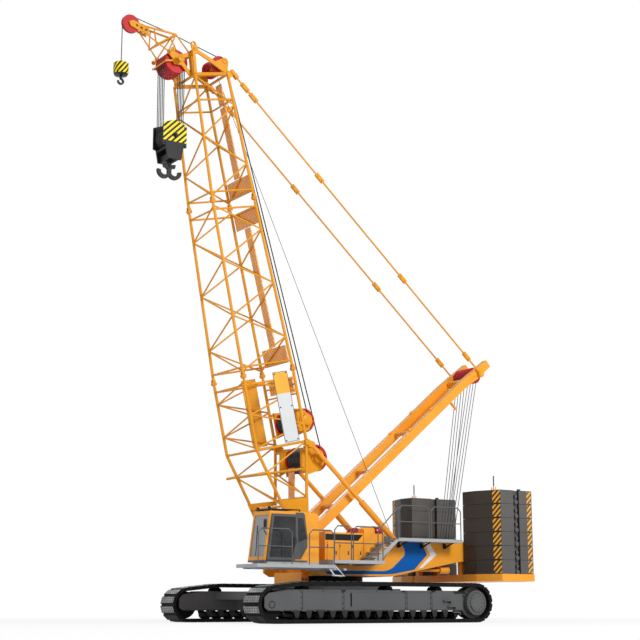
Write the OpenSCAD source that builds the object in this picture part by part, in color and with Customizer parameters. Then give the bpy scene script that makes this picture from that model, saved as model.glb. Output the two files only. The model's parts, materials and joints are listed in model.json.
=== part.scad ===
// Crawler crane with a lattice boom, tip jib, live mast and stacked counterweights.
// Frame: +X forward, +Y to the operator's left, +Z up, origin on the slewing axis at ground level.

/* [Undercarriage] */
// Overall length of a track over the shoes
track_l = 9300; // [8000:10:10500]
// Overall height of a track
track_h = 1300; // [1150:5:1450]
// Width of a track shoe
shoe_w = 930; // [700:10:1100]
// Distance between the track centre lines
gauge = 5550; // [5200:10:6200]
// Number of shoes in one track
shoe_n = 64; // [50:2:80]
// Height of the cleats on a shoe
cleat_h = 45; // [20:1:70]
// Thickness of the shoe and link belt under the cleats
belt_t = 75; // [50:1:100]
// Bottom rollers on each side
roller_n = 15; // [10:1:16]
// Outer radius of the slewing ring
slew_r = 1250; // [1000:10:1400]

/* [Platform] */
// Half width of the platform over the side girders
girder_y = 1450; // [1350:5:1600]
// Thickness of a side girder
girder_t = 100; // [60:5:140]
// Underside of the platform
platform_z = 1520; // [1480:5:1600]
// Top of the rear girders
girder_top = 2780; // [2600:10:2900]
// Rear end of the girders behind the slewing axis
girder_rear = 5900; // [5500:10:6200]
// Height of the boom foot pin above the ground
foot_z = 2300; // [2200:5:2450]
// Boom foot pin ahead of the slewing axis
foot_x = 1450; // [1300:5:1600]
// Diameter of the foot pin
foot_pin_d = 150; // [120:2:180]

/* [Cab] */
// Width of the cab
cab_w = 1000; // [900:10:1100]
// Inner side of the cab from the centre line
cab_y = 1350; // [1300:5:1450]
// Height of the cab from floor to roof
cab_h = 1600; // [1450:10:1750]
// Thickness of the cab walls
cab_t = 60; // [40:1:80]
// Travel of the sliding door
door_travel = 700; // [500:10:760]

/* [Boom] */
// Lean of the boom axis from upright in the parked pose
boom_lean = 12.84; // [8:0.01:20]
// Side of the square section at the foot of the insert
boom_w = 2090; // [1900:10:2200]
// Side of the square section at the head of the insert
boom_top_w = 1760; // [1600:10:1900]
// Length of the base section from the foot pin
base_l = 6090; // [5800:10:6400]
// Length of the insert
insert_l = 6000; // [5700:10:6300]
// Length of the top section up to the head frame
top_l = 4410; // [4200:10:4700]
// Offset of the boom axis ahead of the foot pin
boom_off = 180; // [100:5:260]
// Diameter of a chord tube
chord_d = 104; // [90:2:130]
// Diameter of a lacing tube
lace_d = 58; // [44:2:70]
// Radius of the head sheaves
head_sheave_r = 410; // [350:5:450]
// Radius of the tip sheave
tip_sheave_r = 320; // [280:5:360]

/* [Mast] */
// Length of the mast from the foot pin to the tip axle
mast_l = 10380; // [9800:10:10800]
// Mast angle above the rearward horizontal
mast_angle = 40.5; // [36:0.1:46]
// Distance of a mast leg from the centre line
mast_y = 600; // [560:5:620]
// Depth of a mast leg
mast_d = 310; // [270:5:350]

/* [Counterweight] */
// Blocks in each stack
block_n = 6; // [3:1:7]
// Height of a block
block_h = 483; // [400:1:520]
// Inner side of a stack from the centre line
stack_y = 1490; // [1470:5:1600]
// Width of a stack
stack_w = 1660; // [1400:10:1800]
// Length of a stack along the inner side
stack_l = 2100; // [1900:10:2300]
// Front of the stacks behind the slewing axis
stack_front = 4870; // [4700:10:5000]

/* [Hidden] */

// Gap left at a seat
seat = 0.3;
yellow = [0.96, 0.65, 0.14];
dark = [0.24, 0.25, 0.26];
black = [0.1, 0.1, 0.11];
red = [0.78, 0.1, 0.12];
grey = [0.55, 0.57, 0.58];
brown = [0.78, 0.5, 0.24];
glassy = [0.25, 0.3, 0.33];

// Shapes shared by the modules below
module box(lo, hi) { translate(lo) cube(hi - lo); }
module pair() { children(); mirror([0, 1, 0]) children(); }
module strut(a, b, d, fn = 8) {
    v = b - a;
    translate(a) rotate([0, acos(v.z / norm(v)), atan2(v.y, v.x)]) cylinder(h = norm(v), d = d, $fn = fn);
}
// A plate drawn in the X-Z plane, between two values of Y
module side_plate(points, y0, y1) { translate([0, y1, 0]) rotate([90, 0,
    0]) linear_extrude(y1 - y0) polygon(points); }
// A round bar along Y
module bar_y(x, z, y0, y1, d, fn = 48) { translate([x, y0, z]) rotate([-90, 0, 0]) cylinder(h = y1 - y0,
    d = d, $fn = fn); }
// A path of straight tubes
module tube_path(points, d, fn = 8) { for (i = [1 : len(points) - 1]) strut(points[i - 1], points[i], d,
    fn); }

// Track belt: it runs round the sprocket, the idler and the front carrier roller
tip_r = track_h / 2 - cleat_h;
idler_r = tip_r - 70;
carrier_r = 220;
wheels = [
    [-(track_l - track_h) / 2, track_h / 2, tip_r],
    [track_l / 2 - cleat_h - idler_r, idler_r + cleat_h, idler_r],
    [track_l * 0.3, track_h - cleat_h - carrier_r, carrier_r]];
function wheel(i) = wheels[i % len(wheels)];
function unit(a) = [cos(a), sin(a)];
function centre(i) = [wheel(i)[0], wheel(i)[1]];
function tangent_angle(i) = let (v = centre(i + 1) - centre(i))
    atan2(v.y, v.x) - acos((wheel(i)[2] - wheel(i + 1)[2]) / norm(v));
function turn(i) = let (a = tangent_angle(i) - tangent_angle(i + len(wheels) - 1)) a < 0 ? a + 360 : a;
function arc_l(i) = turn(i) * PI / 180 * wheel(i)[2];
function line_l(i) = let (n = unit(tangent_angle(i)))
    norm(centre(i + 1) + n * wheel(i + 1)[2] - centre(i) - n * wheel(i)[2]);
belt_l = arc_l(0) + line_l(0) + arc_l(1) + line_l(1) + arc_l(2) + line_l(2);
// Point of the belt at a distance along it, moved outwards by h
function belt(s, h, i = 0) =
    s < arc_l(i) ? centre(i) + (wheel(i)[2] + h) * unit(tangent_angle(i + len(wheels) - 1)
        + s / wheel(i)[2] * 180 / PI)
    : s < arc_l(i) + line_l(i) ? let (n = unit(tangent_angle(i)), p = centre(i) + n * (wheel(i)[2] + h))
        p + (s - arc_l(i)) * [-n.y, n.x]
    : belt(s - arc_l(i) - line_l(i), h, i + 1);
pitch = belt_l / shoe_n;
function shoe_outline() = [for (k = [0 : shoe_n - 1], c = [[0.02, 0], [0.16, 0], [0.24, cleat_h],
    [0.94, cleat_h]])
    belt((k + c[0]) * pitch, c[1])];
function belt_inside() = [for (k = [0 : 4 * shoe_n - 1]) belt((k + 0.1) * pitch / 4, -belt_t)];

module track(side) {
    color(black) translate([0, side * gauge / 2, 0]) difference() {
        side_plate(shoe_outline(), -shoe_w / 2, shoe_w / 2);
        side_plate(belt_inside(), -shoe_w / 2 - 1, shoe_w / 2 + 1);
    }
}

// Running gear inside the belt
sprocket_r = wheels[0][2] - belt_t - 4;
idler_wheel_r = wheels[1][2] - belt_t - 4;
roller_d = 250;
roller_z = cleat_h + belt_t + roller_d / 2 + seat;
roller_w = 460;
hanger_t = 40;
hanger_w = 240;
frame_w = 640;
frame_bottom = roller_z + roller_d / 2 + 20;
frame_top = track_h - cleat_h - belt_t - 140;
carrier_z = track_h - cleat_h - carrier_r;
carrier_roller_r = carrier_r - belt_t - 4;
carriers = [wheels[2][0], -0.05 * track_l, -0.27 * track_l];
frame_front = wheels[1][0] - idler_wheel_r - 40;
frame_rear = wheels[0][0];
frame_back = frame_rear + sprocket_r + 30;
guard_front = wheels[1][0] + 270;
panel_in = 14;
// Ends of the recessed panels on the outer side, as shares of the track's length
panels = [[0.156, 0.312], [-0.113, 0.14], [-0.225, -0.127]];
roller_x0 = -0.34 * track_l;
roller_pitch = 0.68 * track_l / (roller_n - 1);
cross_x = 2500;
cross_l = 950;

module wheel_set(x, z, r, rim_w, hub_r) {
    pair() translate([0, gauge / 2, 0]) {
        bar_y(x, z, -rim_w / 2, rim_w / 2, 2 * r, 64);
        bar_y(x, z, -frame_w / 2 + hanger_t + seat, frame_w / 2 - hanger_t - seat, 2 * hub_r, 48);
    }
}
module idlers() { color(dark) wheel_set(wheels[1][0], wheels[1][1], idler_wheel_r, 380, 130); }
module sprockets() {
    color(dark) pair() translate([0, gauge / 2, 0]) {
        bar_y(wheels[0][0], wheels[0][1], -190, 190, 2 * sprocket_r, 64);
        bar_y(wheels[0][0], wheels[0][1], 190, shoe_w / 2 - 60, 820, 64);
        bar_y(wheels[0][0], wheels[0][1], shoe_w / 2 - 60, shoe_w / 2 - 15, 580, 64);
        bar_y(wheels[0][0], wheels[0][1], -frame_w / 2 + hanger_t + seat, -190, 560, 48);
    }
}
module rollers() {
    color(dark) pair() translate([0, gauge / 2, 0]) {
        for (i = [0 : roller_n - 1]) {
            bar_y(roller_x0 + i * roller_pitch, roller_z, -roller_w / 2, roller_w / 2, roller_d, 32);
            bar_y(roller_x0 + i * roller_pitch, roller_z, -frame_w / 2 + hanger_t + seat,
                frame_w / 2 - hanger_t - seat, 90, 32);
        }
        for (x = carriers) bar_y(x, carrier_z, -roller_w / 2, roller_w / 2, 2 * carrier_roller_r, 32);
    }
}
module crawler_frame(side) {
    out = frame_w / 2;
    color(dark) mirror([0, side < 0 ? 1 : 0, 0]) translate([0, gauge / 2, 0]) difference() {
        union() {
            box([frame_back, -out, frame_bottom], [frame_front, out, frame_top]);
            // Cheeks that carry the idler
            for (y = [-out, out - hanger_t])
                side_plate([[frame_front - 200, frame_bottom], [guard_front - 140, frame_bottom],
                    [guard_front, frame_bottom + 110], [guard_front, frame_top - 240],
                    [guard_front - 140, frame_top - 110], [frame_front - 50, frame_top],
                    [frame_front - 200, frame_top]], y, y + hanger_t);
            // Bearer of the final drive
            box([frame_rear - 200, -out, wheels[0][1] - 260], [frame_back + 170, hanger_t - out,
                wheels[0][1] + 260]);
            // Hangers of the bottom rollers
            for (i = [0 : roller_n - 1], y = [-out, out - hanger_t])
                let (x = roller_x0 + i * roller_pitch)
                    side_plate([[x - hanger_w / 4, roller_z - 60], [x + hanger_w / 4, roller_z - 60],
                        [x + hanger_w / 2, frame_bottom + 1], [x - hanger_w / 2, frame_bottom + 1]], y,
                            y + hanger_t);
        }
        // Pockets of the carrier rollers
        for (x = carriers)
            box([x - carrier_roller_r - 25, -roller_w / 2 - seat, carrier_z - carrier_roller_r - 25],
                [x + carrier_roller_r + 25, roller_w / 2 + seat, frame_top + 1]);
        // Recessed panels and the slot of the towing pin
        for (p = panels)
            box([p[0] * track_l, out - panel_in, frame_bottom + 70], [p[1] * track_l, out + 1,
                frame_top - 60]);
        box([0.115 * track_l, out - 90, frame_bottom + 130], [0.122 * track_l, out + 1, frame_top - 100]);
    }
}
module carbody() {
    inner = gauge / 2 - frame_w / 2 - seat;
    color(dark) union() {
        box([-1700, -1500, 620], [1700, 1500, 1180]);
        for (x = [-cross_x, cross_x]) {
            side_plate([[x - cross_l / 2, 760], [x + cross_l / 2, 760], [x + cross_l / 2, 1000],
                [x + cross_l / 2 - 180 * sign(x), 1000], [x + cross_l / 2 - 180, 1020],
                    [x - cross_l / 2, 1020]], -inner, inner);
            box([min(0, x), -900, 700], [max(0, x), 900, 1120]);
        }
        translate([0, 0, 1100]) cylinder(h = 180, r = slew_r - 60, $fn = 96);
    }
}
module crawler_steps() {
    y = gauge / 2 + frame_w / 2;
    rise = 190;
    color(grey) pair() for (i = [0 : 2])
        translate([frame_back + 164 + (2 - i) * rise, y, frame_top - 340 - i * rise]) {
            box([0, seat, 0], [300, 110, 30]);
            box([0, seat, -80], [20, 110, 5]);
        }
}
module slew_ring() {
    color(black) translate([0, 0, 1280 + seat]) difference() {
        cylinder(h = platform_z - 1280 - 2 * seat, r = slew_r, $fn = 96);
        translate([0, 0, -1]) cylinder(h = 400, r = slew_r - 260, $fn = 96);
    }
}

// Platform: side girders, cross members, floor and the boom foot brackets
house_front = 1000;
winch_x = -1600;
winch_z = 2820;
winch_r = 440;
brackets = [[400, 460], [740, 880], [1120, 1200]];
saddle_x = -2120;
saddle_z = 2560;
anchor_x = -5250;
anchor_z = 2620;
// Front of the side girders, and of the slewing drive housing ahead of the ring
nose_x = 1650;
housing_y = 840;
housing_x = 1560;
// Ends of the engine hood
hood_back = -4600;
hood_front = -2500;
// Floor of the front part, the step of the girders, and the bend where the rear part begins
floor_top = 1640;
floor_back = 1650;
step_z = 1850;
bend_x = 4700;
bend_floor = 2240;
bend_keel = 2070;
rear_rise = 80;
// Height of the floor under the engine, of the rear floor and of the girders' underside along the platform
function floor_z(x) = floor_top + (-floor_back - x) * (bend_floor - floor_top) / (bend_x - floor_back);
function rear_z(x) = (-bend_x - x) * rear_rise / (girder_rear - bend_x);
function rear_floor_z(x) = bend_floor + rear_z(x);
function keel_z(x) = bend_keel + rear_z(x);
module platform() {
    color(yellow) difference() {
        union() {
            pair() side_plate([[nose_x - 250, platform_z], [nose_x, platform_z + 140], [nose_x, step_z],
                [-700, step_z],
                [-1500, girder_top], [-girder_rear, girder_top], [-girder_rear, keel_z(-girder_rear)],
                    [-bend_x, bend_keel],
                [-1700, platform_z]], girder_y - girder_t, girder_y);
            box([-1700, -girder_y + 1, platform_z], [slew_r, girder_y - 1, floor_top]);
            box([slew_r - 50, -housing_y, platform_z], [housing_x, housing_y, floor_top]);
            box([slew_r + 15, -housing_y, 1265], [housing_x, housing_y, platform_z + 1]);
            // Stepped floor under the engine and the rear cross members
            side_plate([[-floor_back, platform_z], [-floor_back, floor_top], [-bend_x, bend_floor],
                [-girder_rear, rear_floor_z(-girder_rear)],
                [-girder_rear, keel_z(-girder_rear)], [-bend_x, bend_keel], [-1700, platform_z]],
                    -girder_y + 1, girder_y - 1);
            box([-girder_rear, -girder_y + 1, 2200], [-girder_rear + 120, girder_y - 1, girder_top]);
            // Boom and mast foot brackets with their pins
            pair() {
                for (b = brackets)
                    side_plate([[house_front + 10, floor_top - 40], [slew_r - 1, floor_top - 40],
                        [foot_x + 230, foot_z - 180],
                        [foot_x + 190, foot_z + 60], [foot_x + 110, foot_z + 170], [foot_x - 110,
                            foot_z + 170],
                        [foot_x - 190, foot_z + 60]], b[0], b[1]);
                bar_y(foot_x, foot_z, brackets[0][0] - 30, brackets[2][1] + 30, foot_pin_d);
            }
            // Luffing winch stands
            pair() side_plate([[winch_x - 330, floor_top - 40], [winch_x + 330, floor_top - 40],
                [winch_x + 160, winch_z + 120],
                [winch_x - 160, winch_z + 120]], 620, 680);
            // Seats for the boom backstops
            pair() side_plate([[saddle_x - 260, 1700], [saddle_x + 300, floor_top], [saddle_x + 200,
                saddle_z],
                [saddle_x - 60, saddle_z + 160], [saddle_x - 260, saddle_z + 160]], 900, 1100);
        }
        translate([0, 0, platform_z - 1]) cylinder(h = 200, r = 620, $fn = 64);
        pair() bar_y(winch_x, winch_z, 600, 700, 141);
        // Sight holes of the slewing drives
        pair() for (x = [slew_r + 100, slew_r + 220]) bar_y(x, 1400, housing_y - 60, housing_y + 1, 90,
            32);
    }
}
module house_side() {
    box([-1560, 960, floor_top + seat], [house_front, girder_y - girder_t - seat, 2950]);
    side_plate([[-700, step_z + seat], [house_front, step_z + seat], [house_front, 2950], [-1450, 2950],
        [-1450, 2740]],
        girder_y - girder_t - 1, girder_y - 20);
    // Door frames, and the tall housing behind them
    for (x = [-480, 20, 520]) box([x, girder_y - 21, 1930], [x + 400, girder_y, 2600]);
    side_plate([[-560, 2100], [-560, 3090], [-640, 3160], [-930, 3160], [-1010, 3090], [-1010, 2380]],
        1130, girder_y + 20);
}
module house_left() { color(yellow) house_side(); }
module house_right() { color(yellow) mirror([0, 1, 0]) house_side(); }
module engine_hood() {
    top = girder_top - 20;
    color(yellow) difference() {
        side_plate([[hood_back, floor_z(hood_back) + 5], [hood_back, top], [hood_front, top],
            [hood_front, floor_z(hood_front) + 5]], -girder_y + girder_t + seat,
                girder_y - girder_t - seat);
        side_plate([[hood_back + 60, floor_z(hood_back) - 60], [hood_back + 60, top - 60],
            [hood_front - 60, top - 60],
            [hood_front - 60, floor_z(hood_front) - 100]], -girder_y + girder_t + 70,
                girder_y - girder_t - 70);
        // Cooling slots in the top
        for (i = [0 : 7], y = [-1100, 300])
            box([hood_back + 300 + 200 * i, y, top - 70], [hood_back + 400 + 200 * i, y + 800, top + 20]);
    }
}
module engine_block() {
    back = hood_back + 600;
    front = hood_front - 400;
    color(dark) side_plate([[back, floor_z(back) + seat], [back, 2640], [front, 2640],
        [front, floor_z(front) + seat]], -500, 500);
}
module luff_drum() {
    color(red) difference() {
        union() {
            bar_y(winch_x, winch_z, -560, 560, 560, 64);
            pair() bar_y(winch_x, winch_z, 530, 600, 2 * winch_r, 64);
            bar_y(winch_x, winch_z, -675, 675, 140, 48);
        }
        pair() for (a = [0 : 60 : 300]) bar_y(winch_x + 350 * cos(a), winch_z + 350 * sin(a), 520, 610,
            90, 24);
    }
}
module luff_anchor() {
    low = anchor_x - 260;
    high = anchor_x + 260;
    color(yellow) {
        for (y = [-420, -20, 380])
            side_plate([[low, rear_floor_z(low) + seat], [high, rear_floor_z(high) + seat],
                [anchor_x + 110, anchor_z + 110], [anchor_x - 110, anchor_z + 110]], y, y + 40);
        side_plate([[low, rear_floor_z(low) + seat], [high, rear_floor_z(high) + seat],
            [high, rear_floor_z(high) + 40], [low, rear_floor_z(low) + 40]], -700, 700);
        bar_y(anchor_x, anchor_z, -440, 440, 90);
    }
}
module grooved_sheave(x, z, y, r, w, bore) {
    translate([x, y, z]) rotate([-90, 0, 0]) rotate_extrude($fn = 64)
        polygon([[bore, -w / 2], [r, -w / 2], [r, -w / 2 + 12], [r - 38, -6], [r - 38, 6], [r,
            w / 2 - 12], [r, w / 2], [bore, w / 2]]);
}
module anchor_sheaves() {
    color(red) difference() {
        union() for (y = [-300, -120, 120, 300]) grooved_sheave(anchor_x, anchor_z, y, 130, 150, 45.5);
        bar_y(anchor_x, anchor_z, -500, 500, 91);
    }
}

// Cab on the left of the boom foot
cab_z = 1900;
cab_front = 3920;
cab_back = 2300;
box_back = 1850;
cab_top = cab_z + cab_h;
front_slope = 220;
cab_side = cab_y + cab_w;
deck_z = 1830;
deck_t = 110;
door_front = 3800;
door_back = 2740;
door_gap = 14;
// X of the slanted windscreen at a height
function screen_x(z) = cab_front - front_slope * (z - cab_z) / cab_h;
module cab_floor() { color(dark) box([cab_back, cab_y, cab_z], [cab_front, cab_side, cab_z + cab_t]); }
module cab_frame() {
    z0 = cab_z + cab_t + seat;
    z1 = cab_top - cab_t - seat;
    color(yellow) difference() {
        union() {
            side_plate([[cab_back, z0], [screen_x(z0), z0], [screen_x(z1), z1], [cab_back, z1]], cab_y,
                cab_side);
            // Runners of the sliding door
            for (z = [z0, z1 - 34]) box([cab_back, cab_side - 1, z], [screen_x(z1) - 60,
                cab_side + door_gap - seat, z + 22]);
        }
        side_plate([[cab_back + cab_t, z0 - 1], [screen_x(z0) - cab_t, z0 - 1], [screen_x(z1) - cab_t,
            z1 + 1], [cab_back + cab_t, z1 + 1]],
            cab_y + cab_t, cab_side - cab_t);
        // Windscreen
        box([screen_x(z1) - 200, cab_y + 70, z0 + 110], [cab_front + 10, cab_side - 70, z1 - 60]);
        // Right window
        side_plate([[cab_back + 150, z0 + 500], [screen_x(z0 + 500) - 110, z0 + 500],
            [screen_x(z1) - 110, z1 - 60], [cab_back + 150, z1 - 60]],
            cab_y - 1, cab_y + cab_t + 1);
        // Doorway and the window behind it
        side_plate([[door_back + 40, z0 + 10], [screen_x(z0) - 90, z0 + 10], [screen_x(z1) - 90,
            z1 - 40], [door_back - 60, z1 - 40],
            [door_back - 60, z0 + 550]], cab_side - cab_t - 1, cab_side + 1);
        side_plate([[cab_back + 110, z0 + 500], [door_back - 160, z0 + 500], [door_back - 130, z1 - 60],
            [cab_back + 130, z1 - 60]],
            cab_side - cab_t - 1, cab_side + 1);
    }
}
module cab_roof() { color(yellow) box([cab_back, cab_y, cab_top - cab_t], [screen_x(cab_top - cab_t),
    cab_side, cab_top]); }
module cab_rear_box() {
    top = cab_top - 20;
    color(yellow) union() {
        side_plate([[box_back, cab_z], [cab_back - seat, cab_z], [cab_back - seat, top],
            [box_back + 130, top],
            [box_back + 60, top - 25], [box_back + 20, top - 70], [box_back, top - 140]], cab_y,
                cab_side);
        box([door_back - 60 - door_travel, cab_side - 1, 2640], [cab_back - 20,
            cab_side + door_gap - seat, 2680]);
    }
}
module cab_glass() {
    z0 = cab_z + cab_t + seat;
    z1 = cab_top - cab_t - seat;
    color(glassy) {
        // Windscreen
        side_plate([[screen_x(z0 + 110) - 40, z0 + 110 + seat], [screen_x(z0 + 110) - 32,
            z0 + 110 + seat],
            [screen_x(z1 - 60) - 32, z1 - 60 - seat], [screen_x(z1 - 60) - 40, z1 - 60 - seat]],
            cab_y + 70 + seat, cab_side - 70 - seat);
        side_plate([[cab_back + 150 + seat, z0 + 500 + seat], [screen_x(z0 + 500) - 111,
            z0 + 500 + seat], [screen_x(z1) - 112, z1 - 60 - seat],
            [cab_back + 150 + seat, z1 - 60 - seat]], cab_y + 26, cab_y + 34);
        side_plate([[cab_back + 112, z0 + 500 + seat], [door_back - 162, z0 + 500 + seat],
            [door_back - 132, z1 - 60 - seat],
            [cab_back + 132, z1 - 60 - seat]], cab_side - 34, cab_side - 26);
    }
}
door_y = cab_side + door_gap;
function door_outline(inset) = let (z0 = cab_z + cab_t + inset, z1 = cab_top - cab_t - 30 - inset)
    [[door_back + 60 + inset, z0], [screen_x(z0) - 60 - inset, z0], [screen_x(z1) - 60 - inset, z1],
        [door_back - 40 + inset, z1],
    [door_back - 40 + inset, cab_z + 600]];
module cab_door() {
    color(dark) difference() {
        union() {
            side_plate(door_outline(0), door_y, door_y + 45);
            // Handle
            box([door_front - 80, door_y + 44, cab_z + 620], [door_front - 50, door_y + 75, cab_z + 820]);
        }
        side_plate(door_outline(85), door_y - 1, door_y + 46);
    }
}
module cab_door_glass() { color(glassy) side_plate(door_outline(85 + seat), door_y + 18, door_y + 26); }
module roof_guard() {
    z = cab_top + 60;
    color(black) union() {
        tube_path([[cab_back + 250, cab_side - 60, cab_top + seat], [cab_back + 250, cab_side - 60, z],
            [3680, cab_side - 60, z],
            [3680, cab_y + 60, z], [cab_back + 250, cab_y + 60, z], [cab_back + 250, cab_y + 60,
                cab_top + seat]], 40);
        for (i = [1 : 6]) strut([cab_back + 250 + 190 * i, cab_side - 60, z], [cab_back + 250 + 190 * i,
            cab_y + 60, z], 28);
        for (y = [cab_side - 60, cab_y + 60]) strut([3580, y, cab_top + seat], [3580, y, z], 36);
    }
}
module seat_shape() {
    y0 = cab_y + 260;
    color(black) union() {
        box([2700, y0 + 90, cab_z + cab_t + seat], [3000, y0 + 390, cab_z + 360]);
        box([2620, y0, cab_z + 350], [3130, y0 + 480, cab_z + 470]);
        side_plate([[2620, cab_z + 460], [2740, cab_z + 460], [2620, cab_z + 1130], [2520,
            cab_z + 1130]], y0 + 20, y0 + 460);
    }
}
module console() {
    color(dark) for (y = [cab_y + 100, cab_side - 250]) {
        box([2760, y, cab_z + cab_t + seat], [3150, y + 130, cab_z + 560]);
        strut([3080, y + 65, cab_z + 540], [3110, y + 65, cab_z + 740], 36);
    }
}

// Walkways along the left and right sides
deck_y = 2750;
upper_y = 2150;
mid_deck_z = 2000;
upper_deck_z = 2800;
front_deck = 4400;
module deck(x0, x1, y0, y1, z, t = deck_t) { box([x0, y0, z - t], [x1, y1, z]); }
module catwalks() {
    back = box_back - 400;
    color(grey) union() {
        deck(back, front_deck, girder_y + seat, deck_y, deck_z);
        // Outrigger beams under the cab deck and the cab's bearers
        for (x = [back - 450, back + 50]) box([x, girder_y + seat, deck_z - 170], [x + 110, deck_y - 60,
            deck_z - deck_t + 1]);
        for (y = [1700, 2300]) box([back - 400, y, deck_z - 150], [front_deck - 100, y + 90,
            deck_z - deck_t + 1]);
        box([box_back, girder_y + seat, deck_z - 1], [cab_front - 120, cab_side, cab_z - seat]);
        deck(-600, back + 1, girder_y + 31, deck_y - 150, mid_deck_z);
        box([back - 40, girder_y + 31, deck_z - deck_t], [back + 10, deck_y - 150, mid_deck_z]);
        for (i = [0 : 3])
            deck(-680 - 200 * i, -420 - 200 * i, girder_y + 60, upper_y, mid_deck_z + 160 * (i + 1), 40);
        for (y = [girder_y + 40, upper_y - 30])
            side_plate([[-500, mid_deck_z - 60], [-500, mid_deck_z + 60], [-1500, upper_deck_z],
                [-1560, upper_deck_z - 70], [-650, mid_deck_z - 60]], y, y + 30);
        deck(-4300, -1480, girder_y + 1, upper_y, upper_deck_z);
        // Brackets and props on the girders
        for (x = [-4000, -3000, -2000]) {
            box([x - 40, girder_y + seat, 2500], [x + 40, girder_y + 90, upper_deck_z - deck_t + 1]);
            strut([x, girder_y + 60, 2530], [x, upper_y - 120, upper_deck_z - deck_t + 20], 60);
        }
        for (x = [-300, 700])
            box([x, girder_y + seat, mid_deck_z - 150], [x + 80, deck_y - 200, mid_deck_z - deck_t + 1]);
    }
}
rail_h = 1090;
rail_d = 42;
post_d = 36;
rail_r = 130;
module rail(x0, x1, y, z) {
    top = z + rail_h;
    n = ceil(abs(x1 - x0) / 1400);
    s = rail_r * sign(x1 - x0);
    for (i = [0 : n])
        let (x = x0 + (x1 - x0) * i / n, end = i == 0 || i == n)
            strut([x, y, z + seat], [x, y, end ? top - rail_r + 8 : top], post_d);
    strut([x0, y, z + rail_h / 2], [x1, y, z + rail_h / 2], rail_d - 8);
    // Top rail with its bent corners
    strut([x0 + s - s / 12, y, top], [x1 - s + s / 12, y, top], rail_d);
    strut([x0, y, top - rail_r], [x0 + s, y, top], rail_d - 4);
    strut([x1, y, top - rail_r], [x1 - s, y, top], rail_d - 4);
}
module guardrails() {
    color(grey) {
        rail(3100, 4350, deck_y - 40, deck_z);
        rail(1500, 2450, deck_y - 40, deck_z);
        rail(720, 1380, deck_y - 190, mid_deck_z);
        rail(-550, 640, deck_y - 190, mid_deck_z);
        rail(-4250, -2960, upper_y - 40, upper_deck_z);
        rail(-2860, -1560, upper_y - 40, upper_deck_z);
        // Stair handrail
        y = upper_y + post_d / 2 + seat;
        strut([-640, y, mid_deck_z - 40], [-640, y, mid_deck_z + 1000], post_d);
        strut([-1480, y, upper_deck_z - 60], [-1480, y, upper_deck_z + 1000], post_d);
        strut([-620, y, mid_deck_z + 980], [-1500, y, upper_deck_z + 1020], rail_d);
    }
}

// Counterweight stacks on the tray behind the platform
tray_top = 1630;
tray_bottom = 1385;
flank_in = 690;
flank_back = 330;
seam = 9;
stack_out = stack_y + stack_w;
function stack_outline(g) = [[-stack_front + g, stack_y - g], [-stack_front + g, stack_y + flank_in],
    [-stack_front - flank_back + g, stack_out + g],
    [-stack_front - stack_l + flank_back - g, stack_out + g], [-stack_front - stack_l - g,
        stack_y + flank_in], [-stack_front - stack_l - g, stack_y - g]];
stack_mid = -stack_front - stack_l / 2;
module counterweight_stack() {
    difference() {
        union() {
            for (i = [0 : block_n - 1]) translate([0, 0, tray_top + seat + i * block_h]) {
                linear_extrude(block_h - seam) polygon(stack_outline(0));
                // Lifting bollards in the side recess and on the top
                for (y = [stack_y + 250, stack_out - 250]) translate([stack_mid - 350, y,
                    block_h - seam - 1])
                    if (i == block_n - 1) cylinder(h = 70, d = 130, $fn = 32);
            }
            // Locating dowels that join the blocks
            for (y = [stack_y + 450, stack_out - 450]) translate([stack_mid, y,
                tray_top + 100]) cylinder(h = block_n * block_h - 200, d = 260, $fn = 32);
        }
        for (y = [stack_y - 1, stack_out - 120]) box([stack_mid - 130, y, tray_top - 1],
            [stack_mid + 130, y + 121, tray_top + block_n * block_h + 1]);
    }
    for (i = [0 : block_n - 1]) bar_y(stack_mid, tray_top + i * block_h + block_h * 0.55,
        stack_out - 125, stack_out - 10, 110, 24);
}
module counterweight_left() { color(dark) counterweight_stack(); }
module counterweight_right() { color(dark) mirror([0, 1, 0]) counterweight_stack(); }
module counterweight_tray() {
    color(yellow) union() {
        pair() translate([0, 0, tray_bottom]) linear_extrude(tray_top - tray_bottom)
            polygon(stack_outline(20));
        box([-stack_front - stack_l + 250, -stack_y, tray_bottom], [-stack_front - 10, stack_y,
            tray_top]);
        // Hangers up to the girders
        pair() for (x = [-stack_front - 90, -girder_rear + 90])
            side_plate([[x - 80, tray_top - 1], [x + 80, tray_top - 1], [x + 80, keel_z(x + 80) - seat],
                [x - 80, keel_z(x - 80) - seat]],
                girder_y - 330, girder_y - 130);
    }
}
module tie_rods() {
    z = tray_top + block_n * block_h - seam + 2 * seat;
    color(yellow) pair() translate([stack_mid + 300, stack_y + stack_w / 2, z]) {
        cylinder(h = 25, d = 320, $fn = 48);
        cylinder(h = 560, d = 42, $fn = 24);
        for (y = [-110, 110]) translate([0, y, 0]) cylinder(h = 160, d = 30, $fn = 16);
    }
}

// Boom, drawn upright about its foot pin and then leaned forward
module in_boom() { translate([foot_x, 0, foot_z]) rotate([0, boom_lean, 0]) children(); }
ring_z = 3600;
joint1 = base_l;
joint2 = base_l + insert_l;
head_z = joint2 + top_l;
head_depth = 1400;
head_w = 1600;
head_off = 90;
foot_y = 1000;
ring_d = chord_d - 36;
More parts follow.
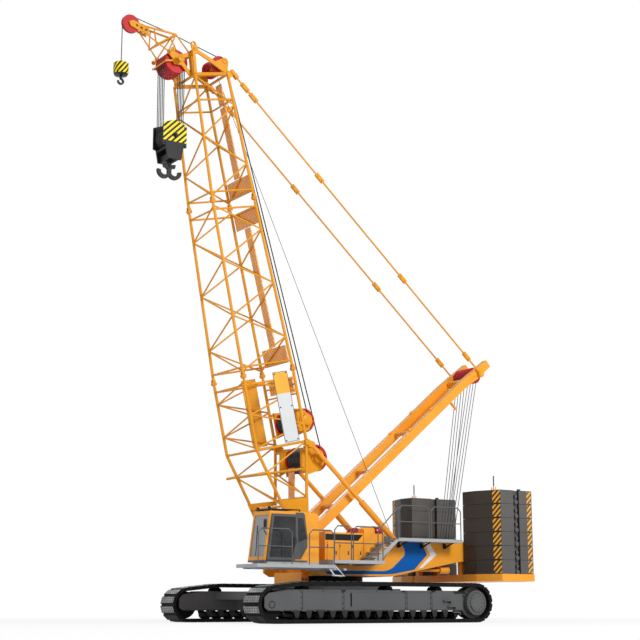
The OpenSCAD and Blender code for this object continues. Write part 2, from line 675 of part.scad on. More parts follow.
// Width, depth and axis of the boom section at a height, and its corners
function part_of(a, b, t) = a + (b - a) * t;
function width_at(z) = z < joint1 ? boom_w : z < joint2 ? part_of(boom_w, boom_top_w,
    (z - joint1) / insert_l)
    : part_of(boom_top_w, head_w, (z - joint2) / top_l);
function depth_at(z) = z < joint2 ? width_at(z) : part_of(boom_top_w, head_depth, (z - joint2) / top_l);
function off_at(z) = z < joint2 ? boom_off : part_of(boom_off, head_off, (z - joint2) / top_l);
function node_at(sx, sy, z) =
    [off_at(z) + sx * (depth_at(z) - chord_d) / 2, sy * (width_at(z) - chord_d) / 2, z];
// Point of a leg that closes in on the foot pin
leg_z = 500;
leg_x = [-130, 230];
function leg_at(sx, sy, z) = let (f = [sx > 0 ? leg_x[1] : leg_x[0], sy * foot_y, leg_z])
    part_of(f, node_at(sx, sy, ring_z), (z - leg_z) / (ring_z - leg_z));
function rear_at(sy, z) = z < ring_z ? leg_at(-1, sy, z) : node_at(-1, sy, z);
corners = [[1, 1], [-1, 1], [-1, -1], [1, -1]];
// Rectangular frame of tubes across the section
module ring(z, d) {
    for (i = [0 : 3]) let (a = corners[i], b = corners[(i + 1) % 4])
        strut(node_at(a[0], a[1], z), node_at(b[0], b[1], z), d);
}
// Chords and zigzag lacing between two heights, on the left, rear, right and front faces or some of them
module lattice(z0, z1, bays, faces = [0, 1, 2, 3]) {
    low = z0 + lace_d;
    step = (z1 - z0 - 2 * lace_d) / bays;
    for (c = corners) strut(node_at(c[0], c[1], z0), node_at(c[0], c[1], z1), chord_d, 12);
    for (i = faces, k = [0 : bays - 1]) {
        a = corners[(i + k) % 2 == 0 ? i : (i + 1) % 4];
        b = corners[(i + k) % 2 == 0 ? (i + 1) % 4 : i];
        strut(node_at(a[0], a[1], low + k * step), node_at(b[0], b[1], low + (k + 1) * step), lace_d);
    }
}
lug_d = 164;
lug_t = 34;
lug_gap = 3;
chord_pin_d = 70;
// Single lugs at the upper end of a section
module male_lugs(z) {
    for (c = corners) let (p = node_at(c[0], c[1], z)) {
        strut(node_at(c[0], c[1], z - 115), node_at(c[0], c[1], z - 55), 2 * lug_t - 4, 12);
        difference() {
            bar_y(p.x, z, p.y - lug_t, p.y + lug_t, lug_d, 32);
            bar_y(p.x, z, p.y - lug_t - 1, p.y + lug_t + 1, chord_pin_d + 2 * seat, 32);
        }
    }
}
// Forked lugs with their pins at the lower end of a section
module female_lugs(z) {
    for (c = corners) let (p = node_at(c[0], c[1], z)) {
        for (y = [p.y - 2 * lug_t - lug_gap, p.y + lug_t + lug_gap]) {
            bar_y(p.x, z, y, y + lug_t, lug_d, 32);
            box([p.x - 48, y, z + 40], [p.x + 48, y + lug_t, z + 140]);
        }
        bar_y(p.x, z, p.y - 2.5 * lug_t, p.y + 2.5 * lug_t, chord_pin_d, 32);
    }
}
module boom_base() {
    color(yellow) in_boom() difference() {
        union() {
            lattice(ring_z, joint1 - 110, 4, [0, 2, 3]);
            for (z = [joint1 - 850, joint1 - 520]) strut(node_at(-1, 1, z), node_at(-1, -1, z), lace_d);
            ring(ring_z, chord_d - 20);
            ring(joint1 - 300, ring_d);
            male_lugs(joint1);
            // Legs that close in on the foot pins
            for (c = corners) strut(node_at(c[0], c[1], ring_z), leg_at(c[0], c[1], leg_z), chord_d, 12);
            for (s = [-1, 1]) {
                side_plate([[700, 1850], [-455, 1750], [-150, 300], [-130, -60], [130, -60], [300, 420]],
                    s * foot_y - 30, s * foot_y + 30);
                bar_y(0, 0, s * foot_y - 95, s * foot_y + 95, 340);
                strut(leg_at(1, s, 2800), leg_at(-1, s, 2700), lace_d + 10);
                strut(leg_at(1, s, 2835), node_at(-1, s, ring_z + 12), lace_d);
                strut(leg_at(1, s, 2765), leg_at(-1, s, 1800), lace_d);
                // Stub tubes ahead of the front legs
                strut(leg_at(1, s, 2830) + [20, 0, 0], leg_at(1, s, 2830) + [400, 0, 0], 90, 12);
            }
            for (p = [[1, 2815], [1, 1640], [-1, 2710], [-1, 1750]])
                strut(leg_at(p[0], -1, p[1]), leg_at(p[0], 1, p[1]), cross_d);
            strut(leg_at(1, -1, 2785), leg_at(1, 1, 1655), lace_d);
            strut(leg_at(-1, -1, 2690), leg_at(-1, 1, 1765), lace_d);
            // Lugs of the backstops
            pair() box([-880, 907, ring_z - 130], [-715, 1093, ring_z + 45]);
            for (s = [-1, 1], y = [s * stop_y - 95, s * stop_y + 60 + seat])
                side_plate([[-800, ring_z + 60], [-800, ring_z - 200], [back_eye[0] + 20,
                    back_eye[1] - 100],
                    [back_eye[0] - 90, back_eye[1] - 40], [back_eye[0] - 80, back_eye[1] + 70]], y,
                        y + 35 - seat);
            // Drum side plates on the rear face
            for (s = [-1, 1], d = drums) drum_plate(d, s);
        }
        pair() bar_y(0, 0, foot_y - 120, foot_y + 120, foot_pin_d + 2);
        for (d = drums) bar_y(d[0], d[1], -800, 800, 141);
    }
}
// Upper eye of a backstop, and the cross tubes between the legs
back_eye = [-990, 3440];
stop_y = 1000;
cross_d = 90;
// Centres and radii of the two hoist drums on the rear face of the base
drums = [[-1130, 4300, 410], [-1320, 2970, 460]];
drum_y = 640;
module drum_plate(d, s) {
    low = d[1] - 420;
    high = d[1] + 420;
    y = s > 0 ? drum_y : -drum_y - 50;
    side_plate([[rear_at(1, low).x + 30, low], [rear_at(1, high).x + 30, high], [d[0] - 40, d[1] + 170],
        [d[0] - 170, d[1]], [d[0] - 40, d[1] - 170]], y, y + 50);
    for (z = [d[1] - 375, d[1] + 375]) let (p = rear_at(s, z))
        strut([p.x - 8, s * (drum_y + 25), z], [p.x - 8, p.y, z], 84);
}
module hoist_drum(d) {
    color(red) in_boom() difference() {
        union() {
            bar_y(d[0], d[1], -drum_y + 80, drum_y - 80, 1.2 * d[2], 64);
            pair() bar_y(d[0], d[1], drum_y - 90, drum_y - 20, 2 * d[2], 64);
            bar_y(d[0], d[1], -drum_y - 45, drum_y + 45, 140, 48);
        }
        pair() for (a = [0 : 60 : 300]) bar_y(d[0] + 0.78 * d[2] * cos(a), d[1] + 0.78 * d[2] * sin(a),
            drum_y - 100, drum_y, 90, 24);
    }
}
module main_drum() { hoist_drum(drums[1]); }
module aux_drum() { hoist_drum(drums[0]); }
module boom_insert() {
    color(yellow) in_boom() union() {
        lattice(joint1 + 115, joint2 - 110, 6);
        for (z = [joint1 + 300, joint2 - 300]) ring(z, ring_d);
        female_lugs(joint1);
        male_lugs(joint2);
    }
}
// Head of the boom, with heights counted from the top of the chords
function head(points) = [for (p = points) [p[0], head_z + p[1]]];
function on_head(x, z) = [x, head_z + z];
axle = on_head(1145, 570);
guide = on_head(-560, 470);
jib_foot = on_head(1400, 890);
jib_stay = on_head(560, 900);
pendant_lug = on_head(-720, 50);
eye = on_head(560, 1090);
eye_d = 110;
frame_y = 670;
frame_t = 58;
arm_y = 450;
arm_t = 60;
pendant_y = 800;
module boom_top() {
    color(yellow) in_boom() difference() {
        union() {
            lattice(joint2 + 115, head_z, 4);
            female_lugs(joint2);
            ring(joint2 + 300, ring_d);
            ring(head_z - 900, ring_d);
            ring(head_z, chord_d - 6);
            for (s = [-1, 1]) {
                head_frame(s > 0 ? frame_y : -frame_y - frame_t);
                sheave_arm(s > 0 ? arm_y : -arm_y - arm_t);
                // Pendant lug on the rear chord
                side_plate(head([[-600, -160], [-500, -160], [-500, 40], [-690, 130], [-760, 130],
                    [-810, 60],
                    [-790, -30]]), s * pendant_y - 30, s * pendant_y + 30);
            }
            bar_y(axle[0], axle[1], -arm_y - arm_t - 40, arm_y + arm_t + 40, 140);
            bar_y(guide[0], guide[1], -frame_y - frame_t - 20, frame_y + frame_t + 20, 110);
            bar_y(590, head_z + 775, -frame_y - 1, frame_y + 1, 110, 32);
            // Rope keeper ahead of the sheaves
            for (s = [-1, 1])
                side_plate(head([[1250, 545], [1250, 605], [1640, 605], [1640, 545]]), s * 480 - 14,
                    s * 480 + 14);
            bar_y(1610, head_z + 575, -493, 493, 50, 24);
        }
        bar_y(eye[0], eye[1], -900, 900, eye_d);
        bar_y(jib_foot[0], jib_foot[1], -900, 900, 60);
    }
}
// Side frame of the head with its upright eye and the bracket of the guide sheave
module head_frame(y) {
    difference() {
        union() {
            side_plate(head([[460, 1090], [490, 1160], [560, 1190], [630, 1160], [660, 1090],
                [650, 800], [760, 10],
                [740, -60], [-640, -40], [-690, 50], [-620, 140], [100, 660], [400, 850]]), y,
                    y + frame_t);
            side_plate(head([[-700, 440], [-650, 560], [-520, 600], [-420, 540], [-150, 460], [-480, 180],
                [-600, 150]]), y, y + frame_t);
        }
        side_plate(head([[-450, 75], [630, 75], [560, 750], [440, 740], [120, 520]]), y - 1,
            y + frame_t + 1);
    }
}
// Arm from the chords to the main axle and the jib foot
module sheave_arm(y) {
    difference() {
        side_plate(head([[1315, 460], [1335, 630], [1470, 850], [1460, 960], [1340, 960], [1060, 780],
            [640, 850],
            [520, 790], [650, -30], [770, -35], [1040, 400]]), y, y + arm_t);
        side_plate(head([[690, 700], [940, 650], [960, 520], [740, 130]]), y - 1, y + arm_t + 1);
    }
}
module head_sheaves() {
    color(red) in_boom() for (i = [-3 : 3]) grooved_sheave(axle[0], axle[1], 112 * i, head_sheave_r,
        106, 70.5);
}
module guide_sheaves() {
    color(red) in_boom() for (y = [-320, 320]) grooved_sheave(guide[0], guide[1], y, 300, 120, 55.5);
}
module boom_walkway() {
    on_lace = lace_d / 2 + seat;
    on_ring = ring_d / 2 + seat;
    color(brown) in_boom() {
        for (s = [[ring_z + 1250, joint1 - 780], [joint1 + 880, joint2 - 880], [joint2 + 880,
            head_z - 960],
            [head_z - 840, head_z - 150]])
            walkway_plate(node_at(-1, 1, s[0]), node_at(-1, 1, s[1]), on_lace, -220, 140);
        // Wide platforms at the joints, and the strip between the legs
        for (s = [[joint1 - 750, joint1 - 250], [joint1 + 250, joint1 + 850], [joint2 - 850,
            joint2 - 250],
            [joint2 + 250, joint2 + 850]])
            walkway_plate(node_at(-1, 1, s[0]), node_at(-1, 1, s[1]), on_ring, -750, 750);
        walkway_plate(leg_at(-1, 1, 1500), leg_at(-1, 1, 2780), cross_d / 2 + seat, -220, 140);
    }
}
// Plate behind two points of the rear face
module walkway_plate(p, q, gap, y0, y1) {
    side_plate([[p.x - gap - 40, p.z], [p.x - gap, p.z], [q.x - gap, q.z], [q.x - gap - 40, q.z]], y0,
        y1);
}
module sign_plates() {
    y = (boom_w - chord_d + ring_d) / 2 + seat;
    color([0.95, 0.95, 0.93]) in_boom() pair() box([-520, y, ring_z + 70], [60, y + 16, joint1 - 40]);
}
module backstops() {
    // Lower end of the backstop in the boom's own axes
    low = let (dx = saddle_x - 30 - foot_x, dz = saddle_z + 250 - foot_z)
        [dx * cos(boom_lean) - dz * sin(boom_lean), dx * sin(boom_lean) + dz * cos(boom_lean)];
    color(yellow) in_boom() for (s = [-1, 1]) {
        stop_tube(low, s, 0, 110);
        stop_tube(low, s, 0.09, 150);
        stop_tube(low, s, 0.6, 220);
        bar_y(back_eye[0], back_eye[1], s * stop_y - 60, s * stop_y + 60, 180, 32);
    }
}
// Tube of a backstop from a share of its length down to its lower end
module stop_tube(low, s, t, d) {
    p = part_of(back_eye, low, t);
    strut([p[0], s * stop_y, p[1]], [low[0], s * stop_y, low[1]], d, 12);
}
jib_tip = on_head(2437, 2010);
jib_bend = on_head(870, 1590);
jib_low = on_head(1750, 1200);
jib_top = on_head(1650, 1780);
module tip_jib() {
    color(yellow) in_boom() union() {
        for (s = [-1, 1]) {
            bend = [jib_bend[0], s * 200, jib_bend[1]];
            low = [jib_low[0], s * 280, jib_low[1]];
            strut([jib_foot[0] + 40, s * 425, jib_foot[1] + 50], [jib_tip[0] - 330, s * 100,
                jib_tip[1] - 260], 50, 12);
            strut(bend, [jib_tip[0] - 330, s * 90, jib_tip[1] - 60], 70, 12);
            strut([jib_foot[0], s * 425, jib_foot[1] + 50], bend, 50);
            strut(low, bend, 56);
            strut(low, [jib_top[0], s * 150, jib_top[1]], 50);
            tip_plate(s * 95 - 20);
            bar_y(jib_foot[0], jib_foot[1], s * 425 - 25 + seat, s * 425 + 25 - seat, 130, 32);
            bar_y(jib_foot[0], jib_foot[1], s * 455 - 55, s * 455 + 55, 60 - 2 * seat);
            // Stay from the bend down to the head
            strut(bend, [jib_stay[0], s * 300, jib_stay[1] + 20], 50);
        }
        strut([jib_bend[0], -200, jib_bend[1]], [jib_bend[0], 200, jib_bend[1]], 70);
        strut([jib_low[0], -280, jib_low[1]], [jib_low[0], 280, jib_low[1]], 56);
        strut([jib_stay[0], -frame_y + seat, jib_stay[1]], [jib_stay[0], frame_y - seat, jib_stay[1]],
            80, 12);
        bar_y(jib_tip[0], jib_tip[1], -110, 110, 80);
    }
}
// Cheek of the jib tip with its lightening holes
module tip_plate(y) {
    x = jib_tip[0];
    z = jib_tip[1];
    difference() {
        side_plate([[x - 560, z - 430], [x - 640, z - 130], [x - 60, z + 110], [x + 90, z + 60],
            [x + 60, z - 90]], y, y + 40);
        for (h = [[-500, -240, 120], [-330, -165, 100], [-180, -80, 80]]) bar_y(x + h[0], z + h[1],
            y - 1, y + 41, h[2], 24);
    }
}
module tip_sheave() { color(red) in_boom() grooved_sheave(jib_tip[0], jib_tip[1], 0, tip_sheave_r, 110,
    40.5); }

// Live mast: two box legs that share the boom's foot pins
module in_mast() { translate([foot_x, 0, foot_z]) rotate([0, mast_angle - 90, 0]) children(); }
leg_w = 240;
module mast() {
    top = mast_l + 640;
    color(yellow) in_mast() difference() {
        union() {
            for (s = [-1, 1]) {
                side_plate([[30, 420], [30 + mast_d, 800], [mast_d - 10, mast_l - 900], [205, top],
                    [-85, top],
                    [-90, mast_l - 150], [0, mast_l - 900]], s * mast_y - leg_w / 2,
                        s * mast_y + leg_w / 2);
                side_plate([[-150, -40], [-60, -150], [60, -150], [150, -40], [300, 520], [60, 620]],
                    s * mast_y - 110, s * mast_y + 110);
                // Stubs that rest on the platform when the mast is laid down, and the lifting lugs
                strut([60, s * mast_y, 0.83 * mast_l], [-360, s * mast_y, 0.835 * mast_l], 100, 12);
                for (t = [0.62, 0.745]) side_plate([[mast_d / 2, t * mast_l - 130], [mast_d + 60,
                    t * mast_l - 50],
                    [mast_d + 60, t * mast_l + 50], [mast_d / 2, t * mast_l + 130]], s * mast_y - 25,
                        s * mast_y + 25);
            }
            for (t = [0.22, 0.41, 0.63]) strut([mast_d / 2 + 20, -mast_y, t * mast_l], [mast_d / 2 + 20,
                mast_y, t * mast_l], 150, 12);
            // Closing plate between the legs, and the cross beam under the sheaves
            box([25, -mast_y, 0.64 * mast_l], [55, mast_y, mast_l - 880]);
            box([-40, -mast_y, mast_l - 640], [200, mast_y, mast_l - 520]);
            bar_y(0, mast_l, -mast_y - 260, mast_y + 260, mast_axle_d);
        }
        pair() bar_y(0, 0, mast_y - 200, mast_y + 200, foot_pin_d + 2);
    }
}
module mast_sheaves() {
    color(red) in_mast() for (y = [-360, -240, -120, 0, 120, 240, 360]) grooved_sheave(0, mast_l, y,
        300, 110, 60.5);
}
// Pendant bars from the boom head to the mast tip
function boom_point(p, y) = [foot_x + p[0] * cos(boom_lean) + p[1] * sin(boom_lean), y,
    foot_z - p[0] * sin(boom_lean) + p[1] * cos(boom_lean)];
mast_tip = [foot_x - mast_l * cos(mast_angle), 0, foot_z + mast_l * sin(mast_angle)];
mast_axle_d = 120;
pendant_tilt = let (a = boom_point(pendant_lug, 0), v = mast_tip - a) atan2(v.x, v.z);
module pendants() {
    color(yellow) for (s = [-1, 1]) {
        a = boom_point(pendant_lug, s * pendant_y);
        b = [mast_tip.x, s * pendant_y, mast_tip.z];
        length = norm(b - a);
        u = (b - a) / length;
        difference() {
            union() {
                strut(a + u * 200, b - u * 60, 62, 12);
                bar_y(b.x, b.z, s * pendant_y - 50, s * pendant_y + 50, 240);
            }
            bar_y(b.x, b.z, s * pendant_y - 60, s * pendant_y + 60, mast_axle_d + 1);
        }
        // Fork at the boom head, and its crosspiece
        for (y = [-70, 30 + seat]) pendant_block(a, 0, [-60, y, -60], [60, y + 40 - seat, 280]);
        pendant_block(a, 0, [-52, -67, 160], [52, 67, 290]);
        // Link plates with two pins at the joints of the bars
        for (t = [700, 1150, length / 3, length * 2 / 3, length - 900]) {
            pendant_block(a, t, [-70, -44, -190], [70, 44, 190]);
            for (q = [-120, 120]) let (c = a + u * (t + q)) bar_y(c.x, c.z, c.y - 75, c.y + 75, 84, 24);
        }
    }
}
// Block turned along a pendant bar, at a distance from its upper end
module pendant_block(a, t, lo, hi) {
    translate(a) rotate([0, pendant_tilt, 0]) translate([0, 0, t]) box(lo, hi);
}

// Hook blocks hang plumb under the head and the tip sheave
axle_at = boom_point(axle, 0);
tip_at = boom_point(jib_tip, 0);
block_top = axle_at.z - 2080;
block_axle = block_top - 560;
cheek_y = 330;
module main_block() {
    x = axle_at.x;
    color(black) union() {
        pair() side_plate([[x, block_top], [x + 440, block_top - 170], [x + 440, block_top - 930],
            [x + 330, block_top - 960],
            [x + 250, hook_z], [x - 250, hook_z], [x - 330, block_top - 960], [x - 440, block_top - 930],
            [x - 440, block_top - 170]], cheek_y, cheek_y + 60);
        bar_y(x, block_axle, -cheek_y - 100, cheek_y + 100, 120);
        box([x - 180, -cheek_y - 1, hook_z], [x + 180, cheek_y + 1, hook_z + 210]);
        for (p = [[0, -90], [-270, -1010], [270, -1010]])
            box([x + p[0] - 45, -cheek_y - 1, block_top + p[1] - 35], [x + p[0] + 45, cheek_y + 1,
                block_top + p[1] + 35]);
    }
}
module block_sheaves() { color(red) for (i = [-2 : 2]) grooved_sheave(axle_at.x, block_axle, 118 * i,
    390, 110, 60.5); }
hook_z = block_top - 1390;
module main_hook() {
    color(black) translate([axle_at.x, 0, hook_z - 20]) union() {
        cylinder(h = 19.4, d = 300, $fn = 48);
        translate([0, 0, -180]) cylinder(h = 190, d = 170, $fn = 32);
        for (s = [-1, 1]) translate([s * 190, 0, -330]) rotate([90, 0, 0]) {
            translate([0, 0, -55]) linear_extrude(110) difference() {
                circle(r = 260, $fn = 48);
                circle(r = 135, $fn = 48);
                polygon([[0, 0], [s * 60, 400], [s * 500, 400], [s * 400, 60]]);
            }
        }
        translate([-60, -55, -420]) cube([120, 110, 300]);
    }
}
aux_x = tip_at.x + tip_sheave_r - 19;
aux_top = tip_at.z - 1390;
module aux_block() {
    color(black) translate([aux_x, 0, aux_top]) rotate_extrude($fn = 64)
        polygon([[0, 0], [50, 0], [50, -60], [200, -75], [255, -110], [255, -440], [215, -520], [90,
            -540], [0, -540]]);
}
module aux_hook() {
    color(black) translate([aux_x, 0, aux_top - 540 - seat]) {
        translate([0, 0, -120]) cylinder(h = 120, d = 80, $fn = 32);
        translate([0, 0, -190]) rotate([90, 0, 0]) translate([0, 0,
            -30]) linear_extrude(60) difference() {
            circle(r = 120, $fn = 40);
            circle(r = 60, $fn = 40);
            polygon([[0, 0], [30, 200], [200, 200], [200, 30]]);
        }
    }
}

carbody();
crawler_frame(1);  // crawler_frame_left
crawler_frame(-1);  // crawler_frame_right
track(1);  // track_left
track(-1);  // track_right
idlers();
sprockets();
rollers();
crawler_steps();
slew_ring();
platform();
house_left();
house_right();
engine_hood();
engine_block();
luff_drum();
luff_anchor();
anchor_sheaves();
cab_floor();
cab_frame();
cab_roof();
cab_rear_box();
cab_glass();
cab_door();
cab_door_glass();
roof_guard();
seat_shape();  // seat
console();
catwalks();
guardrails();
counterweight_tray();
counterweight_left();
counterweight_right();
tie_rods();
boom_base();
boom_insert();
boom_top();
boom_walkway();
sign_plates();
backstops();
main_drum();
aux_drum();
head_sheaves();
guide_sheaves();
tip_jib();
tip_sheave();
pendants();
mast();
mast_sheaves();
main_block();
block_sheaves();
main_hook();
aux_block();
aux_hook();
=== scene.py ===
"""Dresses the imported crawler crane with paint, ropes, stripes and fittings, and sets its stage."""
import json
import math

import bmesh
import bpy
from bpy.props import FloatProperty, FloatVectorProperty, PointerProperty
from mathutils import Matrix, Vector


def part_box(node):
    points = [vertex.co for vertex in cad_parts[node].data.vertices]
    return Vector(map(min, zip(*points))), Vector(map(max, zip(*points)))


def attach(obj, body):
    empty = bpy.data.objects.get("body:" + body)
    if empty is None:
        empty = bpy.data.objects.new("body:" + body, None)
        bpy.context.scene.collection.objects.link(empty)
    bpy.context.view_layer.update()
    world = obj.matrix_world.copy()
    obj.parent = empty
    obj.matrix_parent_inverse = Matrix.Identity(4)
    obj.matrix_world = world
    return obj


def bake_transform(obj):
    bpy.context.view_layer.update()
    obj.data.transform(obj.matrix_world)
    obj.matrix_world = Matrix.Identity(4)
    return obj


bl_info = {
    "name": "Crawler crane dressing",
    "version": (1, 0, 0),
    "blender": (4, 5, 0),
    "location": "View3D > Sidebar > Crane",
    "description": "Paint, ropes, stripes, fittings and stage of a crawler crane",
    "category": "Object",
}

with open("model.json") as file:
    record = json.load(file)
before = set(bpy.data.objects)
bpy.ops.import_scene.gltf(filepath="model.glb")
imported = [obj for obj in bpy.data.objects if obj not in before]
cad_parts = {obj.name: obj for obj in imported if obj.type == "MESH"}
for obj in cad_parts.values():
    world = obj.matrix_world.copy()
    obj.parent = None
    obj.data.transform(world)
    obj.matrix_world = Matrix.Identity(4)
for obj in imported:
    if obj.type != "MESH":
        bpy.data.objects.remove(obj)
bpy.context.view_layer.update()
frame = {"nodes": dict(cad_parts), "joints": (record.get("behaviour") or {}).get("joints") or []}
joint_place = {joint["name"]: Vector(joint["pos_m"]) for joint in frame["joints"] if "pos_m" in joint}

# Side faces and axles of the solids that the dressing sits on, in metres
outward = (0, 1, 0)
crawler_side, house_side, winch_side, mast_side = 3.095, 1.45, 0.69, 0.72
plate_side, hook_side, hook_axle_end = 1.0437, 0.39, 0.43
sprocket, idler, carrier_roller = (-4.0, 0.65), (4.07, 0.58), (2.79, 1.035)
stack_low, block_height, block_count = 1.63, 0.483, 6
paint_gap = 0.0004


def linear(red, green, blue):
    """A screen colour from 0 to 255 as the linear colour that a shader takes."""
    shares = [value / 255 for value in (red, green, blue)]
    return [s / 12.92 if s <= 0.04045 else ((s + 0.055) / 1.055) ** 2.4 for s in shares] + [1.0]


# Dirt and wear, the same on every finish, and the dark brown that paints shade on the counterweights' front
# faces
dust_tint, rubbed_tint, mud_tint = linear(176, 166, 150), linear(210, 208, 202), linear(104, 94, 82)
scuffed_tint, stain_tint, front_shade_tint = linear(126, 127, 129), linear(112, 104, 96), linear(60, 44, 30)
film_tint = linear(150, 152, 154)


def colour(label, words, *screen):
    return FloatVectorProperty(name=label, description=words, subtype="COLOR", size=4, min=0, max=1,
                               default=linear(*screen))


def length(label, words, metres):
    return FloatProperty(name=label, description=words, subtype="DISTANCE", unit="LENGTH", default=metres)


def angle(label, words, degrees):
    return FloatProperty(name=label, description=words, subtype="ANGLE", default=math.radians(degrees))


def power(label, words, watts):
    return FloatProperty(name=label, description=words, unit="POWER", default=watts)


class CranePaint(bpy.types.PropertyGroup):
    """Colours of the crane's finishes."""
    yellow: colour("Crane yellow", "Paint of the mast and platform", 244, 163, 44)
    golden: colour("Golden yellow", "Paint of the lattice boom, jib and pendants", 226, 152, 20)
    graphite: colour("Graphite", "Paint of the crawler frames and the final drives", 84, 85, 86)
    iron: colour("Iron", "Paint of the counterweights", 88, 87, 86)
    soot: colour("Soot black", "Tracks, hook blocks and roof guard", 17, 17, 18)
    red: colour("Sheave red", "Drums and sheaves", 186, 12, 20)
    blue: colour("Stripe blue", "Stripe along the platform", 0, 92, 174)
    white: colour("Stripe white", "Arrow behind the blue stripe and the plates", 236, 238, 240)
    amber: colour("Hazard amber", "Slanted bars on the counterweights", 248, 172, 40)
    lemon: colour("Hazard yellow", "Slanted bars on the hook blocks", 255, 228, 10)
    zinc: colour("Zinc grey", "Decks and stairs", 168, 170, 172)
    rail: colour("Rail grey", "Guard rails and crawler steps", 82, 84, 87)
    pad: colour("Pad steel", "Worn faces of the track shoes", 150, 151, 152)
    tread: colour("Tread brown", "Walkways on the boom", 246, 174, 100)
    smoke: colour("Smoked glass", "Side windows of the cab", 52, 53, 55)
    steel: colour("Rope steel", "Wire ropes", 66, 68, 71)


class CraneSizes(bpy.types.PropertyGroup):
    """Sizes of the ropes and fittings."""
    hoist_rope: length("Hoist rope", "Diameter of the hoist ropes", 0.032)
    boom_line: length("Boom line", "Diameter of the hoist lines along the boom", 0.042)
    luff_rope: length("Luffing rope", "Diameter of the luffing ropes", 0.024)
    thin_line: length("Thin line", "Diameter of the line from the boom head", 0.018)
    sticker: length("Sticker", "Thickness of the painted bars and stripes", 0.0015)
    bolt: length("Bolt", "Width of a bolt head across its flats", 0.046)
    boom_lean: angle("Boom lean", "Lean of the boom from upright", 12.84)
    mast_lean: angle("Mast lean", "Lean of the mast from upright", -49.5)


class CraneStudio(bpy.types.PropertyGroup):
    """Camera and lamps."""
    place: FloatVectorProperty(name="Camera place", description="Where the camera stands",
                               subtype="TRANSLATION", unit="LENGTH", default=(26.689, 39.769, 0.494))
    heading: angle("Camera heading", "Turn of the view from straight at the left side", 33.62)
    rise: angle("Camera rise", "Angle by which the camera looks up", 11.80)
    lens: FloatProperty(name="Lens", description="Focal length", unit="CAMERA", default=77.4)
    key: power("Key lamp", "Power of the key lamp", 11800)
    fill: power("Fill lamp", "Power of the fill lamp", 2600)
    back: power("Back lamp", "Power of the lamp on the far side", 2500)
    sky: FloatProperty(name="Sky", description="Strength of the light from all round", default=0.32)
    floor_glow: FloatProperty(name="Floor glow", subtype="FACTOR", min=0, max=1, default=0.82,
                              description="Share of the floor that is plain white to the camera")


def arithmetic(operation, swapped=False):
    """A method of Wire that joins two values in a math node."""
    def method(self, other):
        pair = (other, self) if swapped else (self, other)
        return self.net.node("ShaderNodeMath", {"operation": operation}, dict(enumerate(pair)))
    return method


class Wire:
    """A shader value that takes part in Python arithmetic."""
    __add__ = arithmetic("ADD")
    __radd__ = arithmetic("ADD", True)
    __sub__ = arithmetic("SUBTRACT")
    __rsub__ = arithmetic("SUBTRACT", True)
    __mul__ = arithmetic("MULTIPLY")
    __rmul__ = arithmetic("MULTIPLY", True)
    __truediv__ = arithmetic("DIVIDE")
    __gt__ = arithmetic("GREATER_THAN")
    __lt__ = arithmetic("LESS_THAN")
    most = arithmetic("MAXIMUM")

    def __init__(self, net, socket):
        self.net = net
        self.socket = socket

    def part(self):
        """What is left of the value over its whole number."""
        return self.net.node("ShaderNodeMath", {"operation": "FRACT"}, {0: self})


class Net:
    """A shader tree in which one method makes every node."""

    def __init__(self, tree):
        self.tree = tree

    def node(self, kind, settings, inputs, output=0):
        """Makes a node: its settings first, then its inputs. With output None it gives all outputs."""
        made = self.tree.nodes.new(kind)
        for key, value in settings.items():
            setattr(made, key, value)
        for key, value in inputs.items():
            self.feed(made.inputs[key], value)
        if output is None:
            return [Wire(self, socket) for socket in made.outputs]
        return Wire(self, made.outputs[output])

    def background_rays(self):
        """A mask that is 1 for the rays on which the background shows: seen, mirrored or through glass."""
        rays = {wire.socket.name: wire for wire in self.node("ShaderNodeLightPath", {}, {}, None)}
        return rays["Is Camera Ray"].most(rays["Is Glossy Ray"]).most(rays["Is Transmission Ray"])

    def feed(self, socket, value):
        if isinstance(value, Wire):
            self.tree.links.new(value.socket, socket)
        else:
            socket.default_value = value


